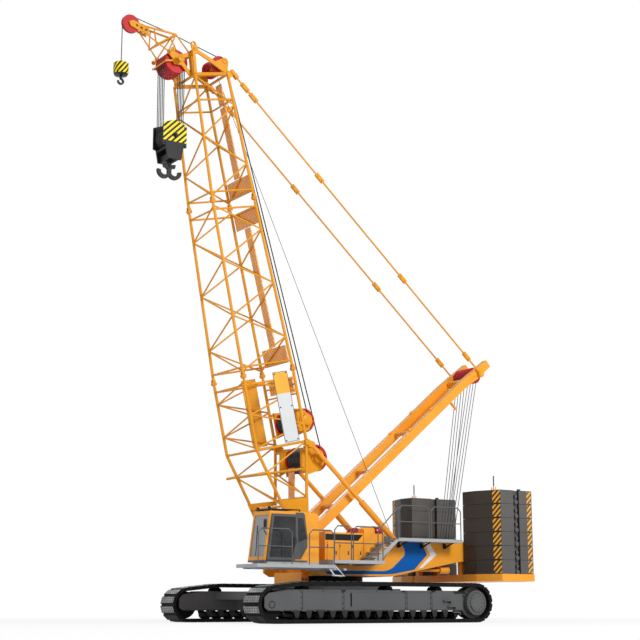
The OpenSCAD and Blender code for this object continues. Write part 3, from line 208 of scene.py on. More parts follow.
class Finish(Net):
    """A material with one shader, built from wires."""

    def __init__(self, name, fixed):
        self.material = bpy.data.materials.new(name)
        self.material.use_nodes = True
        super().__init__(self.material.node_tree)
        self.shader = self.tree.nodes["Principled BSDF"]
        for socket, value in fixed.items():
            self.shader.inputs[socket].default_value = value

    def set(self, socket, value):
        self.feed(self.shader.inputs[socket], value)

    def place(self):
        return self.node("ShaderNodeTexCoord", {}, {}, "Object")

    def axes(self):
        return self.node("ShaderNodeSeparateXYZ", {}, {0: self.place()}, None)

    def facing(self, axis=None):
        """The surface's direction, or its share along an axis."""
        face = self.node("ShaderNodeNewGeometry", {}, {}, "Normal")
        return self.node("ShaderNodeSeparateXYZ", {}, {0: face}, axis) if axis else face

    def noise(self, scale, detail=3.0, rough=0.5):
        return self.node("ShaderNodeTexNoise", {}, {
            "Vector": self.place(), "Scale": scale, "Detail": detail, "Roughness": rough})

    def ramp(self, value, low, high):
        return self.node("ShaderNodeMapRange", {"clamp": True}, {0: value, 1: low, 2: high, 3: 0.0, 4: 1.0})

    def cloud(self, scale, detail, low, high, rough=0.5):
        """Soft patches: noise spread from 0 at the low level to 1 at the high one."""
        return self.ramp(self.noise(scale, detail, rough), low, high)

    def mix(self, mask, first, second):
        return self.node("ShaderNodeMix", {"data_type": "RGBA"}, {0: mask, 6: first, 7: second}, 2)

    def shades(self, mask, tint, low, high):
        """A tint that runs between two shares of itself."""
        return self.mix(mask, scaled(tint, low), scaled(tint, high))

    def rounded(self, radius):
        return self.node("ShaderNodeBevel", {"samples": 4}, {"Radius": radius})

    def edges(self, radius):
        """A mask that is 1 along sharp edges."""
        likeness = self.node("ShaderNodeVectorMath", {"operation": "DOT_PRODUCT"},
                             {0: self.rounded(radius), 1: self.facing()}, "Value")
        return self.ramp(1 - likeness, 0.02, 0.3)

    def bump(self, height, strength, distance, rounding=0.006):
        self.set("Normal", self.node("ShaderNodeBump", {}, {
            "Strength": strength, "Distance": distance, "Height": height, "Normal": self.rounded(rounding)}))


def scaled(tint, share):
    return [value * share for value in tint[:3]] + [1.0]


def lerped(tint, other, share):
    return [a + (b - a) * share for a, b in zip(tint[:3], other[:3])] + [1.0]


def painted(name, tint, rough, dust, coat, shine):
    """Sprayed paint: broad tone, dust on top, rubbed edges and a fine orange peel."""
    finish = Finish(name, {"Specular IOR Level": shine, "Coat Weight": coat, "Coat Roughness": 0.18})
    tone = finish.noise(0.7, 4.0)
    body = finish.shades(finish.ramp(tone, 0.35, 0.68), tint, 0.93, 1.04)
    upward = finish.ramp(finish.facing("Z"), 0.4, 0.95)
    powder = finish.cloud(1.2, 3.0, 0.42, 0.75) * upward * dust
    body = finish.mix(powder, body, lerped(tint, dust_tint, 0.75))
    rub = finish.edges(0.012) * finish.cloud(1.5, 3.0, 0.46, 0.7) * 0.2
    finish.set("Base Color", finish.mix(rub, body, lerped(tint, rubbed_tint, 0.35)))
    finish.set("Roughness", rough + 0.16 * tone - 0.08 + 0.2 * powder)
    finish.bump(finish.noise(140.0, 2.0), 0.05, 0.002)
    return finish


def worn_steel(name, tint):
    """Bare or blackened steel with scuffed high spots and dried dirt."""
    finish = Finish(name, {"Specular IOR Level": 0.1})
    dirt = finish.cloud(1.6, 7.0, 0.4, 0.72, 0.65)
    scuff = finish.edges(0.018) * finish.cloud(7.0, 4.0, 0.36, 0.66)
    body = finish.mix(dirt * 0.12, tint, lerped(tint, mud_tint, 0.3))
    finish.set("Base Color", finish.mix(scuff * 0.25, body, scuffed_tint))
    finish.set("Metallic", 0.05 + 0.3 * scuff)
    finish.set("Roughness", 0.55 + 0.25 * dirt - 0.14 * scuff)
    finish.bump(finish.noise(36.0, 5.0), 0.16, 0.004)
    return finish


def galvanised(name, tint, brackets=None):
    """Hot dipped zinc with a faint spangle, and painted brackets under the upper deck."""
    finish = Finish(name, {"Metallic": 0.15})
    spangle = finish.node("ShaderNodeTexVoronoi", {}, {"Vector": finish.place(), "Scale": 46.0}, "Color")
    grey = finish.node("ShaderNodeRGBToBW", {}, {0: spangle})
    stain = finish.cloud(1.1, 6.0, 0.5, 0.8)
    body = finish.mix(stain * 0.3, finish.shades(grey, tint, 0.86, 1.12), stain_tint)
    if brackets:
        stair_end, deck_underside = -1.5, 2.685
        place = finish.axes()
        body = finish.mix((place[0] < stair_end) * (place[2] < deck_underside), body, brackets)
    finish.set("Base Color", body)
    finish.set("Roughness", 0.42 + 0.16 * grey)
    finish.bump(finish.noise(70.0, 3.0), 0.06, 0.002)
    return finish


def tread_plate(name, tint):
    """Walkway of slanted, raised slats, with painted shade in the grooves between them."""
    finish = Finish(name, {"Metallic": 0.1})
    y, z = finish.axes()[1:]
    pitch, groove = 0.13, 0.18
    slat = ((y * 0.8 + z * 0.6) / pitch).part()
    ridge = finish.ramp(slat, 0.0, groove) * finish.ramp(1 - slat, 0.0, groove)
    stain = finish.cloud(2.4, 6.0, 0.4, 0.75)
    # Painted shade: the grooves between the slats are darkened to 0.55 of the tint.
    body = finish.mix(ridge, scaled(tint, 0.55), tint)
    finish.set("Base Color", finish.mix(stain * 0.35, body, scaled(tint, 0.7)))
    finish.set("Roughness", 0.46 + 0.2 * stain)
    finish.bump(ridge, 0.5, 0.006)
    return finish


def crawler_paint(name, tint, dark):
    """Paint of the crawler frames, darker below the side plates."""
    finish = Finish(name, {"Specular IOR Level": 0.35})
    plate_foot = 0.46
    cloud = finish.cloud(0.8, 4.0, 0.36, 0.7)
    ragged_edge = finish.cloud(1.7, 6.0, 0.3, 0.9, 0.6) * 0.06
    # Below the foot of the side plates the colour runs to the dark tint, along a ragged edge.
    dark_below = finish.ramp(plate_foot - finish.axes()[2] + ragged_edge, 0.04, 0.09)
    finish.set("Base Color", finish.mix(dark_below, finish.shades(cloud, tint, 0.92, 1.05), dark))
    finish.set("Roughness", 0.46 + 0.16 * cloud)
    finish.bump(finish.noise(120.0, 2.0), 0.05, 0.002)
    return finish


def cast_iron(name, tint):
    """Painted castings whose front faces are darkened to a brown by painted shade."""
    finish = Finish(name, {"Specular IOR Level": 0.3})
    # Painted shade: faces turned forward are mixed towards a dark brown.
    front = finish.ramp(finish.facing("X"), 0.35, 0.75)
    cloud = finish.cloud(0.9, 5.0, 0.36, 0.7)
    body = finish.shades(cloud, tint, 0.9, 1.06)
    finish.set("Base Color", finish.mix(front, body, lerped(scaled(tint, 0.3), front_shade_tint, 0.35)))
    finish.set("Roughness", 0.5 + 0.2 * cloud)
    finish.bump(finish.noise(48.0, 5.0), 0.1, 0.004, 0.012)
    return finish


def shoe_steel(name, tint, dark):
    """Worn faces of track shoes: gritty bright steel with dirty patches."""
    finish = Finish(name, {"Metallic": 0.3})
    grit = finish.cloud(9.0, 7.0, 0.35, 0.7, 0.6)
    patch = finish.cloud(1.3, 4.0, 0.4, 0.66)
    body = finish.mix(grit * 0.6, tint, scaled(tint, 0.55))
    finish.set("Base Color", finish.mix(patch * 0.45, body, dark))
    finish.set("Roughness", 0.42 + 0.24 * grit)
    finish.bump(finish.noise(60.0, 5.0), 0.14, 0.003)
    return finish


def tie_rod(name, tint, dark):
    """Painted foot with a greased, dark rod above it."""
    finish = Finish(name, {"Coat Weight": 0.1})
    foot_top = 4.72
    grime = finish.cloud(8.0, 5.0, 0.4, 0.7)
    foot = finish.mix(grime * 0.4, tint, scaled(tint, 0.8))
    rod = finish.mix(grime, dark, scaled(dark, 1.6))
    finish.set("Base Color", finish.mix(finish.axes()[2] > foot_top, foot, rod))
    finish.set("Roughness", 0.4 + 0.2 * grime)
    finish.bump(finish.noise(120.0), 0.05, 0.002)
    return finish


def glazing(name, tint, alpha):
    """Tinted glass with a faint film of dust."""
    finish = Finish(name, {"IOR": 1.5, "Specular IOR Level": 0.3})
    film = finish.cloud(1.8, 5.0, 0.4, 0.8)
    finish.set("Base Color", finish.mix(film * 0.07, tint, film_tint))
    finish.set("Roughness", 0.06 + 0.1 * film)
    finish.set("Alpha", alpha + 0.08 * film)
    return finish


def wire_rope(name, tint):
    """Greased wire rope."""
    finish = Finish(name, {"Metallic": 0.75})
    grease = finish.cloud(11.0, 5.0, 0.36, 0.7)
    finish.set("Base Color", finish.mix(grease, tint, scaled(tint, 0.4)))
    finish.set("Roughness", 0.34 + 0.26 * grease)
    finish.bump(finish.noise(320.0, 2.0), 0.25, 0.002, 0.002)
    return finish


def vinyl(name, tint):
    """Grained black vinyl of the seat."""
    finish = Finish(name, {"Specular IOR Level": 0.4})
    grain = finish.node("ShaderNodeTexVoronoi", {}, {"Vector": finish.place(), "Scale": 260.0})
    finish.set("Base Color", finish.shades(finish.cloud(6.0, 3.0, 0.4, 0.7), tint, 0.9, 1.25))
    finish.set("Roughness", 0.5 + 0.18 * grain)
    finish.bump(grain, 0.3, 0.001, 0.01)
    return finish


def plate_face(name, white, amber):
    """Bare plates: amber above and white below on the left, amber all over on the right."""
    finish = Finish(name, {"Coat Weight": 0.1})
    x, y, z = finish.axes()
    foot = joint_place["boom_luff"]
    lean = bpy.context.scene.crane_sizes.boom_lean
    white_top = 5.31
    above = (x - foot.x) * math.sin(lean) + (z - foot.z) * math.cos(lean) > white_top
    shade = finish.mix(finish.cloud(1.4, 5.0, 0.4, 0.7), scaled(white, 0.95), white)
    gold = finish.mix(finish.cloud(1.7, 5.0, 0.4, 0.7), scaled(amber, 0.93), amber)
    finish.set("Base Color", finish.mix(above.most(y < 0), shade, gold))
    finish.set("Roughness", 0.34 + 0.1 * finish.noise(3.0))
    finish.bump(finish.noise(90.0), 0.03, 0.001)
    return finish


def striped_ball(name, dark, light):
    """Hazard bars that wind round the upright body of the small hook block."""
    finish = Finish(name, {"Specular IOR Level": 0.3})
    x, y, z = finish.axes()
    axis = (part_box("aux_block")[0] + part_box("aux_block")[1]) / 2
    bars_round, pitch, lowest = 10, 0.2, 17.94
    turn = finish.node("ShaderNodeMath", {"operation": "ARCTAN2"}, {0: y - axis.y, 1: x - axis.x})
    bar = (turn * (bars_round / math.tau) - z / pitch).part() > 0.5
    tone = finish.cloud(2.0, 5.0, 0.4, 0.7)
    base = finish.shades(tone, dark, 0.9, 1.15)
    bright = finish.mix(tone, scaled(light, 0.92), light)
    finish.set("Base Color", finish.mix(bar * (z > lowest), base, bright))
    finish.set("Roughness", 0.4 + 0.12 * tone)
    finish.bump(finish.noise(120.0), 0.04, 0.002)
    return finish


class Form:
    """Collects solid shapes in one mesh."""

    def __init__(self):
        self.mesh = bmesh.new()

    def ring_faces(self, rings, closed=False):
        count = len(rings)
        for i in range(count if closed else count - 1):
            a, b = rings[i], rings[(i + 1) % count]
            for k in range(len(a)):
                j = (k + 1) % len(a)
                self.mesh.faces.new((a[k], a[j], b[j], b[k]))
        if not closed:
            self.mesh.faces.new(list(reversed(rings[0])))
            self.mesh.faces.new(rings[-1])

    def sweep(self, path, radius_of, sides, turn_of=lambda i: 0.0, closed=False):
        """Draws a section of many sides along a path."""
        points = [Vector(p) for p in path]
        count = len(points)
        tangents = []
        for i in range(count):
            before = points[i - 1] if closed or i else points[0]
            after = points[(i + 1) % count] if closed or i < count - 1 else points[-1]
            tangents.append((after - before).normalized())
        side = tangents[0].orthogonal().normalized()
        rings = []
        for i, point in enumerate(points):
            side = (side - tangents[i] * side.dot(tangents[i])).normalized()
            other = tangents[i].cross(side)
            ring = []
            for k in range(sides):
                turn = math.tau * k / sides + turn_of(i)
                out = side * math.cos(turn) + other * math.sin(turn)
                ring.append(self.mesh.verts.new(point + radius_of(k) * out))
            rings.append(ring)
        self.ring_faces(rings, closed)

    def tube(self, path, radius, sides=8, closed=False):
        self.sweep(path, lambda k: radius, sides, closed=closed)

    def rope(self, path, diameter):
        """A laid rope: a lobed section that turns along its run."""
        step, sides, turn = 0.045, 12, 0.42
        points = [Vector(path[0])]
        for end in path[1:]:
            start = points[-1].copy()
            end = Vector(end)
            parts = max(1, int((end - start).length / step))
            points += [start.lerp(end, (i + 1) / parts) for i in range(parts)]
        reach = (diameter / 2, diameter * 0.4)
        self.sweep(points, lambda k: reach[k % 2], sides, lambda i: i * turn)

    def plate(self, outline, place, depth):
        """An outline drawn by place(u, v, w), drawn out from w 0 to depth."""
        low = [self.mesh.verts.new(place(u, v, 0.0)) for u, v in outline]
        high = [self.mesh.verts.new(place(u, v, depth)) for u, v in outline]
        self.ring_faces([low, high])

    def lathe(self, profile, centre, steps=24, axis=outward):
        """A profile of (radius, height) turned about an axis."""
        turned = Vector(axis).to_track_quat("Z", "Y").to_matrix().to_4x4()
        frame_of = Matrix.Translation(Vector(centre)) @ turned
        turns = [math.tau * k / steps for k in range(steps)]
        self.ring_faces([[self.mesh.verts.new(frame_of @ Vector((
            radius * math.cos(turn), radius * math.sin(turn), height))) for turn in turns]
            for radius, height in profile])

    def bolt(self, centre, across):
        """A hexagon head on its washer, on a side face."""
        head, washer = across / math.sqrt(3), 0.72 * across
        self.lathe([(washer, 0), (washer, 0.1 * across)], centre, 14)
        self.lathe([(head, 0.09 * across), (head, 0.6 * across), (0.86 * head, 0.7 * across)], centre, 6)

    def bolt_ring(self, centre, radius, count, across):
        """Bolts on a circle on a side face."""
        for i in range(count):
            turn = math.tau * i / count
            self.bolt(Vector(centre) + Vector((math.cos(turn), 0, math.sin(turn))) * radius, across)

    def block(self, low, high, bevel):
        low, high = Vector(low), Vector(high)
        made = bmesh.ops.create_cube(self.mesh, size=1.0, matrix=Matrix.Translation((low + high) / 2)
                                     @ Matrix.Diagonal((*(high - low), 1.0)))
        edges = {edge for vert in made["verts"] for edge in vert.link_edges}
        bmesh.ops.bevel(self.mesh, geom=list(edges), offset=bevel, segments=2, profile=0.5, affect="EDGES")

    def mirror(self):
        """Adds the same shapes on the other side of the machine."""
        mesh = self.mesh
        made = bmesh.ops.duplicate(mesh, geom=mesh.verts[:] + mesh.edges[:] + mesh.faces[:])["geom"]
        for vert in made:
            if isinstance(vert, bmesh.types.BMVert):
                vert.co.y = -vert.co.y
        faces = [item for item in made if isinstance(item, bmesh.types.BMFace)]
        bmesh.ops.reverse_faces(mesh, faces=faces)

    def make(self, name, finish):
        bmesh.ops.recalc_face_normals(self.mesh, faces=self.mesh.faces[:])
        data = bpy.data.meshes.new(name)
        self.mesh.to_mesh(data)
        self.mesh.free()
        data.polygons.foreach_set("use_smooth", [True] * len(data.polygons))
        data.set_sharp_from_angle(angle=math.radians(38))
        data.materials.append(finish_of(finish).material)
        made = bpy.data.objects.new(name, data)
        bpy.context.scene.collection.objects.link(made)
        return made

    def piece(self, name, finish, body, both=False):
        """Makes the mesh an object that rides on a body of the frame, if need be on both sides."""
        if both:
            self.mirror()
        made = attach(self.make(name, finish), body)
        return made


finishes = {}


def finish_of(name):
    """The finish of that name, made once from the paint settings."""
    if name in finishes:
        return finishes[name]
    paint = bpy.context.scene.crane_paint
    maker, *takes = {
        "yellow": (painted, "crane_yellow", paint.yellow, 0.4, 0.04, 0.05, 0.35),
        "golden": (painted, "golden_yellow", paint.golden, 0.36, 0.03, 0.0, 0.25),
        "graphite": (painted, "graphite_paint", paint.graphite, 0.5, 0.3, 0.05, 0.45),
        "trim": (painted, "cab_trim", scaled(paint.graphite, 0.95), 0.45, 0.05, 0.0, 0.3),
        "black": (painted, "satin_black", paint.soot, 0.5, 0.05, 0.0, 0.25),
        "red": (painted, "sheave_red", paint.red, 0.42, 0.05, 0.1, 0.3),
        "blue": (painted, "stripe_blue", paint.blue, 0.5, 0.0, 0.0, 0.15),
        "white": (painted, "stripe_white", paint.white, 0.45, 0.1, 0.0, 0.2),
        "amber": (painted, "hazard_amber", paint.amber, 0.45, 0.05, 0.0, 0.2),
        "lemon": (painted, "hazard_yellow", paint.lemon, 0.45, 0.05, 0.0, 0.2),
        "crawler": (crawler_paint, "crawler_paint", paint.graphite, paint.soot),
        "weight": (cast_iron, "counterweight_paint", paint.iron),
        "soot": (worn_steel, "black_steel", paint.soot),
        "pad": (shoe_steel, "shoe_steel", paint.pad, paint.soot),
        "rod": (tie_rod, "tie_rod", paint.yellow, paint.soot),
        "deck": (galvanised, "deck_grey", paint.zinc, paint.soot[:]),
        "rail": (galvanised, "rail_grey", paint.rail),
        "tread": (tread_plate, "tread_brown", paint.tread),
        "smoke": (glazing, "smoked_glass", scaled(paint.smoke, 0.6), 0.92),
        "clear": (glazing, "cab_glass", lerped(paint.smoke, paint.white, 0.55), 0.6),
        "rope": (wire_rope, "wire_rope", paint.steel),
        "vinyl": (vinyl, "black_vinyl", paint.soot),
        "plate": (plate_face, "bare_plate", scaled(paint.white, 0.8), paint.amber),
        "ball": (striped_ball, "striped_ball", paint.soot, paint.lemon),
    }[name]
    finishes[name] = maker(*takes)
    return finishes[name]


node_finish = {
    "yellow": ["platform", "house_left", "house_right", "engine_hood", "luff_anchor", "cab_frame", "cab_roof",
               "cab_rear_box", "counterweight_tray", "backstops", "mast"],
    "golden": ["boom_base", "boom_insert", "boom_top", "tip_jib", "pendants"],
    "graphite": ["carbody", "sprockets", "cab_floor", "console"],
    "crawler": ["crawler_frame_left", "crawler_frame_right"],
    "trim": ["cab_door"],
    "weight": ["counterweight_left", "counterweight_right"],
    "soot": ["track_left", "track_right", "idlers", "rollers", "slew_ring", "engine_block"],
    "black": ["roof_guard", "main_block", "block_sheaves", "anchor_sheaves", "main_hook", "aux_hook"],
    "ball": ["aux_block"],
    "red": ["luff_drum", "main_drum", "aux_drum", "head_sheaves", "guide_sheaves", "tip_sheave",
            "mast_sheaves"],
    "deck": ["catwalks"],
    "rail": ["guardrails", "crawler_steps"],
    "rod": ["tie_rods"],
    "tread": ["boom_walkway"],
    "smoke": ["cab_door_glass"],
    "clear": ["cab_glass"],
    "vinyl": ["seat"],
    "plate": ["sign_plates"],
}


def leaned(lean, x, y, z):
    """A point drawn upright about the boom's foot pins, leaned forward by an angle."""
    foot = joint_place["boom_luff"]
    return Vector((foot.x + x * math.cos(lean) + z * math.sin(lean), y,
                   foot.z - x * math.sin(lean) + z * math.cos(lean)))


def on_boom(x, y, z):
    return leaned(bpy.context.scene.crane_sizes.boom_lean, x, y, z)


def on_mast(x, y, z):
    return leaned(bpy.context.scene.crane_sizes.mast_lean, x, y, z)


def arc(centre, radius, start, end, y):
    """Points round a centre in a plane along X and Z, from a start to an end in degrees."""
    steps = 14
    turns = [math.radians(start + (end - start) * i / steps) for i in range(steps + 1)]
    return [Vector((centre.x + radius * math.cos(turn), y, centre.z + radius * math.sin(turn)))
            for turn in turns]


def rounded_corner(before, corner, after, steps=6):
    """Points of a smooth bend from before to after, drawn towards the corner."""
    points = []
    for i in range(steps + 1):
        t = i / steps
        points.append(tuple((1 - t) ** 2 * a + 2 * t * (1 - t) * b + t * t * c
                            for a, b, c in zip(before, corner, after)))
    return points


def flank(y):
    """Places an outline of (x, z) on a side of the machine, facing outwards."""
    return lambda u, v, w: Vector((u, y + math.copysign(w, y), v))


def boom_flank(y):
    """Places an outline drawn upright about the foot pins on a side of the boom."""
    return lambda u, v, w: on_boom(u, y + w, v)


def stretched(form, name):
    """Makes a taut rope, with points at its ends only, where it spans two bodies joined by a hinge; it rides
    on neither body.
    """
    made = form.make(name, "rope")
    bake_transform(made)


class Belt:
    """The line on which a track's shoes lie, round wheels of (x, z, radius)."""

    def __init__(self, wheels):
        # Each run: its length, its wheel's axle and radius, the turn where it starts, and 1 on a bend
        self.runs = []
        turns = []
        for here, there in zip(wheels, wheels[1:] + wheels[:1]):
            step = Vector(there[:2]) - Vector(here[:2])
            turns.append(math.atan2(step.y, step.x) - math.acos((here[2] - there[2]) / step.length))
        for i, (x, z, radius) in enumerate(wheels):
            after = wheels[(i + 1) % len(wheels)]
            axle = Vector((x, z))
            out = Vector((math.cos(turns[i]), math.sin(turns[i])))
            straight = (Vector(after[:2]) + out * after[2] - (axle + out * radius)).length
            bend = radius * ((turns[i] - turns[i - 1]) % math.tau)
            self.runs.append((bend, axle, radius, turns[i - 1], 1))
            self.runs.append((straight, axle, radius, turns[i], 0))
        self.length = sum(run[0] for run in self.runs)

    def at(self, way, height):
        """The point at a way along the belt, moved outwards by a height."""
        way %= self.length
        for reach, axle, radius, turn, bend in self.runs:
            if way < reach:
                turned = turn + bend * way / radius
                out = Vector((math.cos(turned), math.sin(turned)))
                along = Vector((-out.y, out.x)) * (0 if bend else way)
                return axle + out * (radius + height) + along
            way -= reach
        raise ValueError("way beyond the belt")


class CRANE_OT_paint(bpy.types.Operator):
    """Gives every node of the frame its finish"""
    bl_idname = "crane.paint"
    bl_label = "Paint the frame"

    def execute(self, context):
        for finish, names in node_finish.items():
            for name in names:
                node = frame["nodes"][name]
                node.data.materials.clear()
                node.data.materials.append(finish_of(finish).material)
        return {"FINISHED"}


class CRANE_OT_hoist_ropes(bpy.types.Operator):
    """Hoist ropes on the boom and the falls of both hook blocks"""
    bl_idname = "crane.hoist_ropes"
    bl_label = "Hoist ropes"

    def execute(self, context):
        sizes = context.scene.crane_sizes
        self.main_falls(sizes.hoist_rope)
        tip, tip_reach = joint_place["tip_pulley_spin"], 0.301
        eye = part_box("aux_block")[1].z - 0.02
        whip = Form()
        whip.rope([(tip.x + tip_reach, 0, tip.z), (tip.x + tip_reach, 0, eye)], sizes.hoist_rope)
        whip.piece("whip_rope", "rope", "whip_block")
        guide, guide_reach, tip_line_y = joint_place["guide_pulley_spin"], 0.276, 0.275
        bend = on_boom(0.87, 0.0, 18.16)
        lines = Form()
        lines.tube(arc(tip, tip_reach, 52, 108, 0.0), sizes.hoist_rope / 2)
        lines.rope([(tip.x - tip_reach * 0.3, 0, tip.z + tip_reach * 0.95), bend,
                    (guide.x, tip_line_y, guide.z + guide_reach)], sizes.hoist_rope)
        rear = 180 + math.degrees(sizes.boom_lean)
        back = Vector((math.cos(math.radians(rear)), 0, math.sin(math.radians(rear))))
        for name, guide_y, drum_y, drum_reach in (("aux_winch_spin", tip_line_y, 0.42, 0.365),
                                                  ("main_winch_spin", 0.37, 0.47, 0.432)):
            lines.tube(arc(guide, guide_reach, 90, rear, guide_y), sizes.boom_line / 2)
            lines.rope([guide + back * guide_reach + Vector((0, guide_y, 0)),
                        joint_place[name] + back * drum_reach + Vector((0, drum_y, 0))], sizes.boom_line)
        lines.piece("boom_lines", "black", "boom")
        return {"FINISHED"}

    def main_falls(self, thick):
        head, head_reach, head_pitch = joint_place["head_pulley_spin"], 0.386, 0.115
        block, block_reach, block_pitch = joint_place["block_pulley_spin"], 0.364, 0.118
        falls, over = Form(), Form()
        for i in range(-2, 3):
            for side in (-1, 1):
                falls.rope([(head.x + side * head_reach, i * head_pitch, head.z),
                            (block.x + side * block_reach, i * block_pitch, block.z)], thick)
            over.tube(arc(head, head_reach, 0, 180, i * head_pitch), thick / 2)
            falls.tube(arc(block, block_reach, 180, 360, i * block_pitch), thick / 2)
        falls.piece("main_falls", "rope", "hook_block")
        over.piece("head_wraps", "rope", "boom")


class CRANE_OT_luffing_ropes(bpy.types.Operator):
    """Luffing ropes between the mast and the anchor, and the line to the platform winch"""
    bl_idname = "crane.luffing_ropes"
    bl_label = "Luffing ropes"

    def execute(self, context):
        thick = context.scene.crane_sizes.luff_rope
        mast, mast_reach = joint_place["mast_pulley_spin"], 0.276
        anchor, anchor_reach = joint_place["anchor_pulley_spin"], 0.106
        ropes = Form()
        for y in (-0.24, -0.08, 0.08, 0.24):
            for side in (-1, 1):
                ropes.tube([(anchor.x + side * anchor_reach, y, anchor.z),
                            (mast.x + side * mast_reach, y, mast.z)], thick / 2, 10)
        stretched(ropes, "luffing_ropes")
        winch = joint_place["luffing_winch_spin"]
        drum_line = Form()
        drum_line.rope([(winch.x - 0.1, 0.1, winch.z + 0.29),
                        (anchor.x + 0.08, 0.12, anchor.z + 0.09)], thick)
        drum_line.piece("luffing_line", "rope", "superstructure")
        return {"FINISHED"}


class CRANE_OT_platform_line(bpy.types.Operator):
    """A thin line from the boom head to the platform"""
    bl_idname = "crane.platform_line"
    bl_label = "Platform line"

    def execute(self, context):
        foot = Vector((-2.83, 0.05, 2.86))
        top = on_boom(-0.56, 0.05, 16.70)
        line = Form()
        line.tube([foot, top], context.scene.crane_sizes.thin_line / 2)
        stretched(line, "platform_line")
        return {"FINISHED"}


class CRANE_OT_windings(bpy.types.Operator):
    """Rope wound on the three drums"""
    bl_idname = "crane.windings"
    bl_label = "Drum windings"

    def execute(self, context):
        thick = context.scene.crane_sizes.hoist_rope
        pitch, lift, steps = thick * 1.03, thick * 0.46, 22
        for body, core, half in (("luffing_winch", 0.28, 0.52), ("main_winch", 0.402, 0.53),
                                 ("aux_winch", 0.352, 0.53)):
            drum = joint_place[body + "_spin"]
            reach = core + lift
            count = int(2 * half / pitch) * steps
            points = []
            for i in range(count + 1):
                turn = math.tau * i / steps
                points.append(drum + Vector((reach * math.cos(turn), -half + 2 * half * i / count,
                                             reach * math.sin(turn))))
            coil = Form()
            coil.tube(points, thick / 2, 6)
            coil.piece(body + "_winding", "rope", body)
        return {"FINISHED"}


class CRANE_OT_winch_covers(bpy.types.Operator):
    """Motor housings outside the two hoist drums"""
    bl_idname = "crane.winch_covers"
    bl_label = "Winch covers"

    def execute(self, context):
        across = context.scene.crane_sizes.bolt * 0.7
        inset, plate_depth, seat, flange = 0.002, 0.016, 0.012, 0.03
        housing = [(0.25, 0), (0.25, flange), (0.2, 0.04), (0.19, 0.13), (0.15, 0.15), (0.06, 0.155)]
        main_plate = [(-0.85, 3.45), (-1.25, 3.42), (-1.58, 3.15), (-1.62, 2.85), (-1.40, 2.55),
                      (-0.85, 2.48)]
        aux_plate = [(-0.75, 4.75), (-1.05, 4.72), (-1.35, 4.45), (-1.40, 4.20), (-1.20, 3.95),
                     (-0.75, 3.85)]
        covers = Form()
        for name, outline in (("main_winch_spin", main_plate), ("aux_winch_spin", aux_plate)):
            covers.plate(outline, boom_flank(winch_side - inset), plate_depth)
            drum = joint_place[name]
            centre = Vector((drum.x, winch_side + seat, drum.z))
            covers.lathe(housing, centre, 32)
            covers.bolt_ring(centre + Vector((0, flange, 0)), 0.225, 10, across)
        covers.piece("winch_covers", "golden", "boom", both=True)
        return {"FINISHED"}


class CRANE_OT_stripes(bpy.types.Operator):
    """Stripe, arrow and dark band along both sides"""
    bl_idname = "crane.stripes"
    bl_label = "Side stripes"

    def execute(self, context):
        depth = context.scene.crane_sizes.sticker
        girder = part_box("platform")[1].y + paint_gap
        house = girder - 0.02
        sweep = [(1.06, 1.700), (0.93, 1.590), (0.83, 1.567), (-1.46, 1.597), (-1.786, 1.611)]
        sweep += [(-2.69, 1.763), (-3.256, 2.282), (-3.02, 2.724), (-2.117, 2.724)]
        sweep += rounded_corner((-2.27, 2.46), (-2.34, 2.33), (-2.23, 2.2))
        sweep += rounded_corner((-1.85, 1.885), (-1.65, 1.705), (-1.30, 1.700))
        arrow = [(-3.13, 2.724), (-3.34, 2.70), (-3.679, 2.291), (-3.051, 1.835), (-2.88, 1.805),
                 (-3.408, 2.272)]
        band = [(0.985, 2.895), (0.985, 2.69), (-0.341, 2.69), (-0.544, 2.895)]
        for name, finish, outline, y in (("blue_stripe", "blue", sweep, girder),
                                         ("white_arrow", "white", arrow, girder),
                                         ("dark_band", "black", band, house)):
            form = Form()
            form.plate(outline, flank(y), depth)
            form.piece(name, finish, "superstructure", both=True)
        return {"FINISHED"}


class CRANE_OT_sign_edges(bpy.types.Operator):
    """Dark edge strips and corner bolts of the bare plates on the boom"""
    bl_idname = "crane.sign_edges"
    bl_label = "Sign edges"

    def execute(self, context):
        sizes = context.scene.crane_sizes
        left, right, low, high, wide, inset = -0.52, 0.06, 3.67, 6.05, 0.018, 0.06
        edges = Form()
        for x0, x1, z0, z1 in ((left, right, low, low + wide), (left, right, high - wide, high),
                               (left, left + wide, low + wide, high - wide),
                               (right - wide, right, low + wide, high - wide)):
            edges.plate([(x0, z0), (x1, z0), (x1, z1), (x0, z1)], boom_flank(plate_side), sizes.sticker)
        for x in (left + inset, right - inset):
            for z in (low + inset, 0.5 * (low + high), high - inset):
                edges.bolt(on_boom(x, plate_side, z), sizes.bolt * 0.8)
        edges.piece("sign_edges", "trim", "boom", both=True)
        return {"FINISHED"}


def cut(outline, across, up, limit):
    """The part of an outline of (u, v) where across * u + up * v is at most the limit."""
    kept = []
    for i, point in enumerate(outline):
        other = outline[i - 1]
        here = across * point[0] + up * point[1] - limit
        there = across * other[0] + up * other[1] - limit
        if (here <= 0) != (there <= 0):
            share = there / (there - here)
            kept.append(tuple(a + share * (b - a) for a, b in zip(other, point)))
        if here <= 0:
            kept.append(point)
    return kept


def bars_in(width, height, pitch, sides=()):
    """Bars that rise to the right, cut to a rectangle and to further sides of (across, up, limit)."""
    outlines = []
    for i in range(-1, int((width + height) / pitch) + 2):
        low = i * pitch - width
        high = low + pitch * 0.5
        outline = [(0.0, low), (width, low + width), (width, high + width), (0.0, high)]
        for side in ((0, -1, 0.0), (0, 1, height), *sides):
            outline = cut(outline, *side)
        if len(outline) > 2:
            outlines.append(outline)
    return outlines


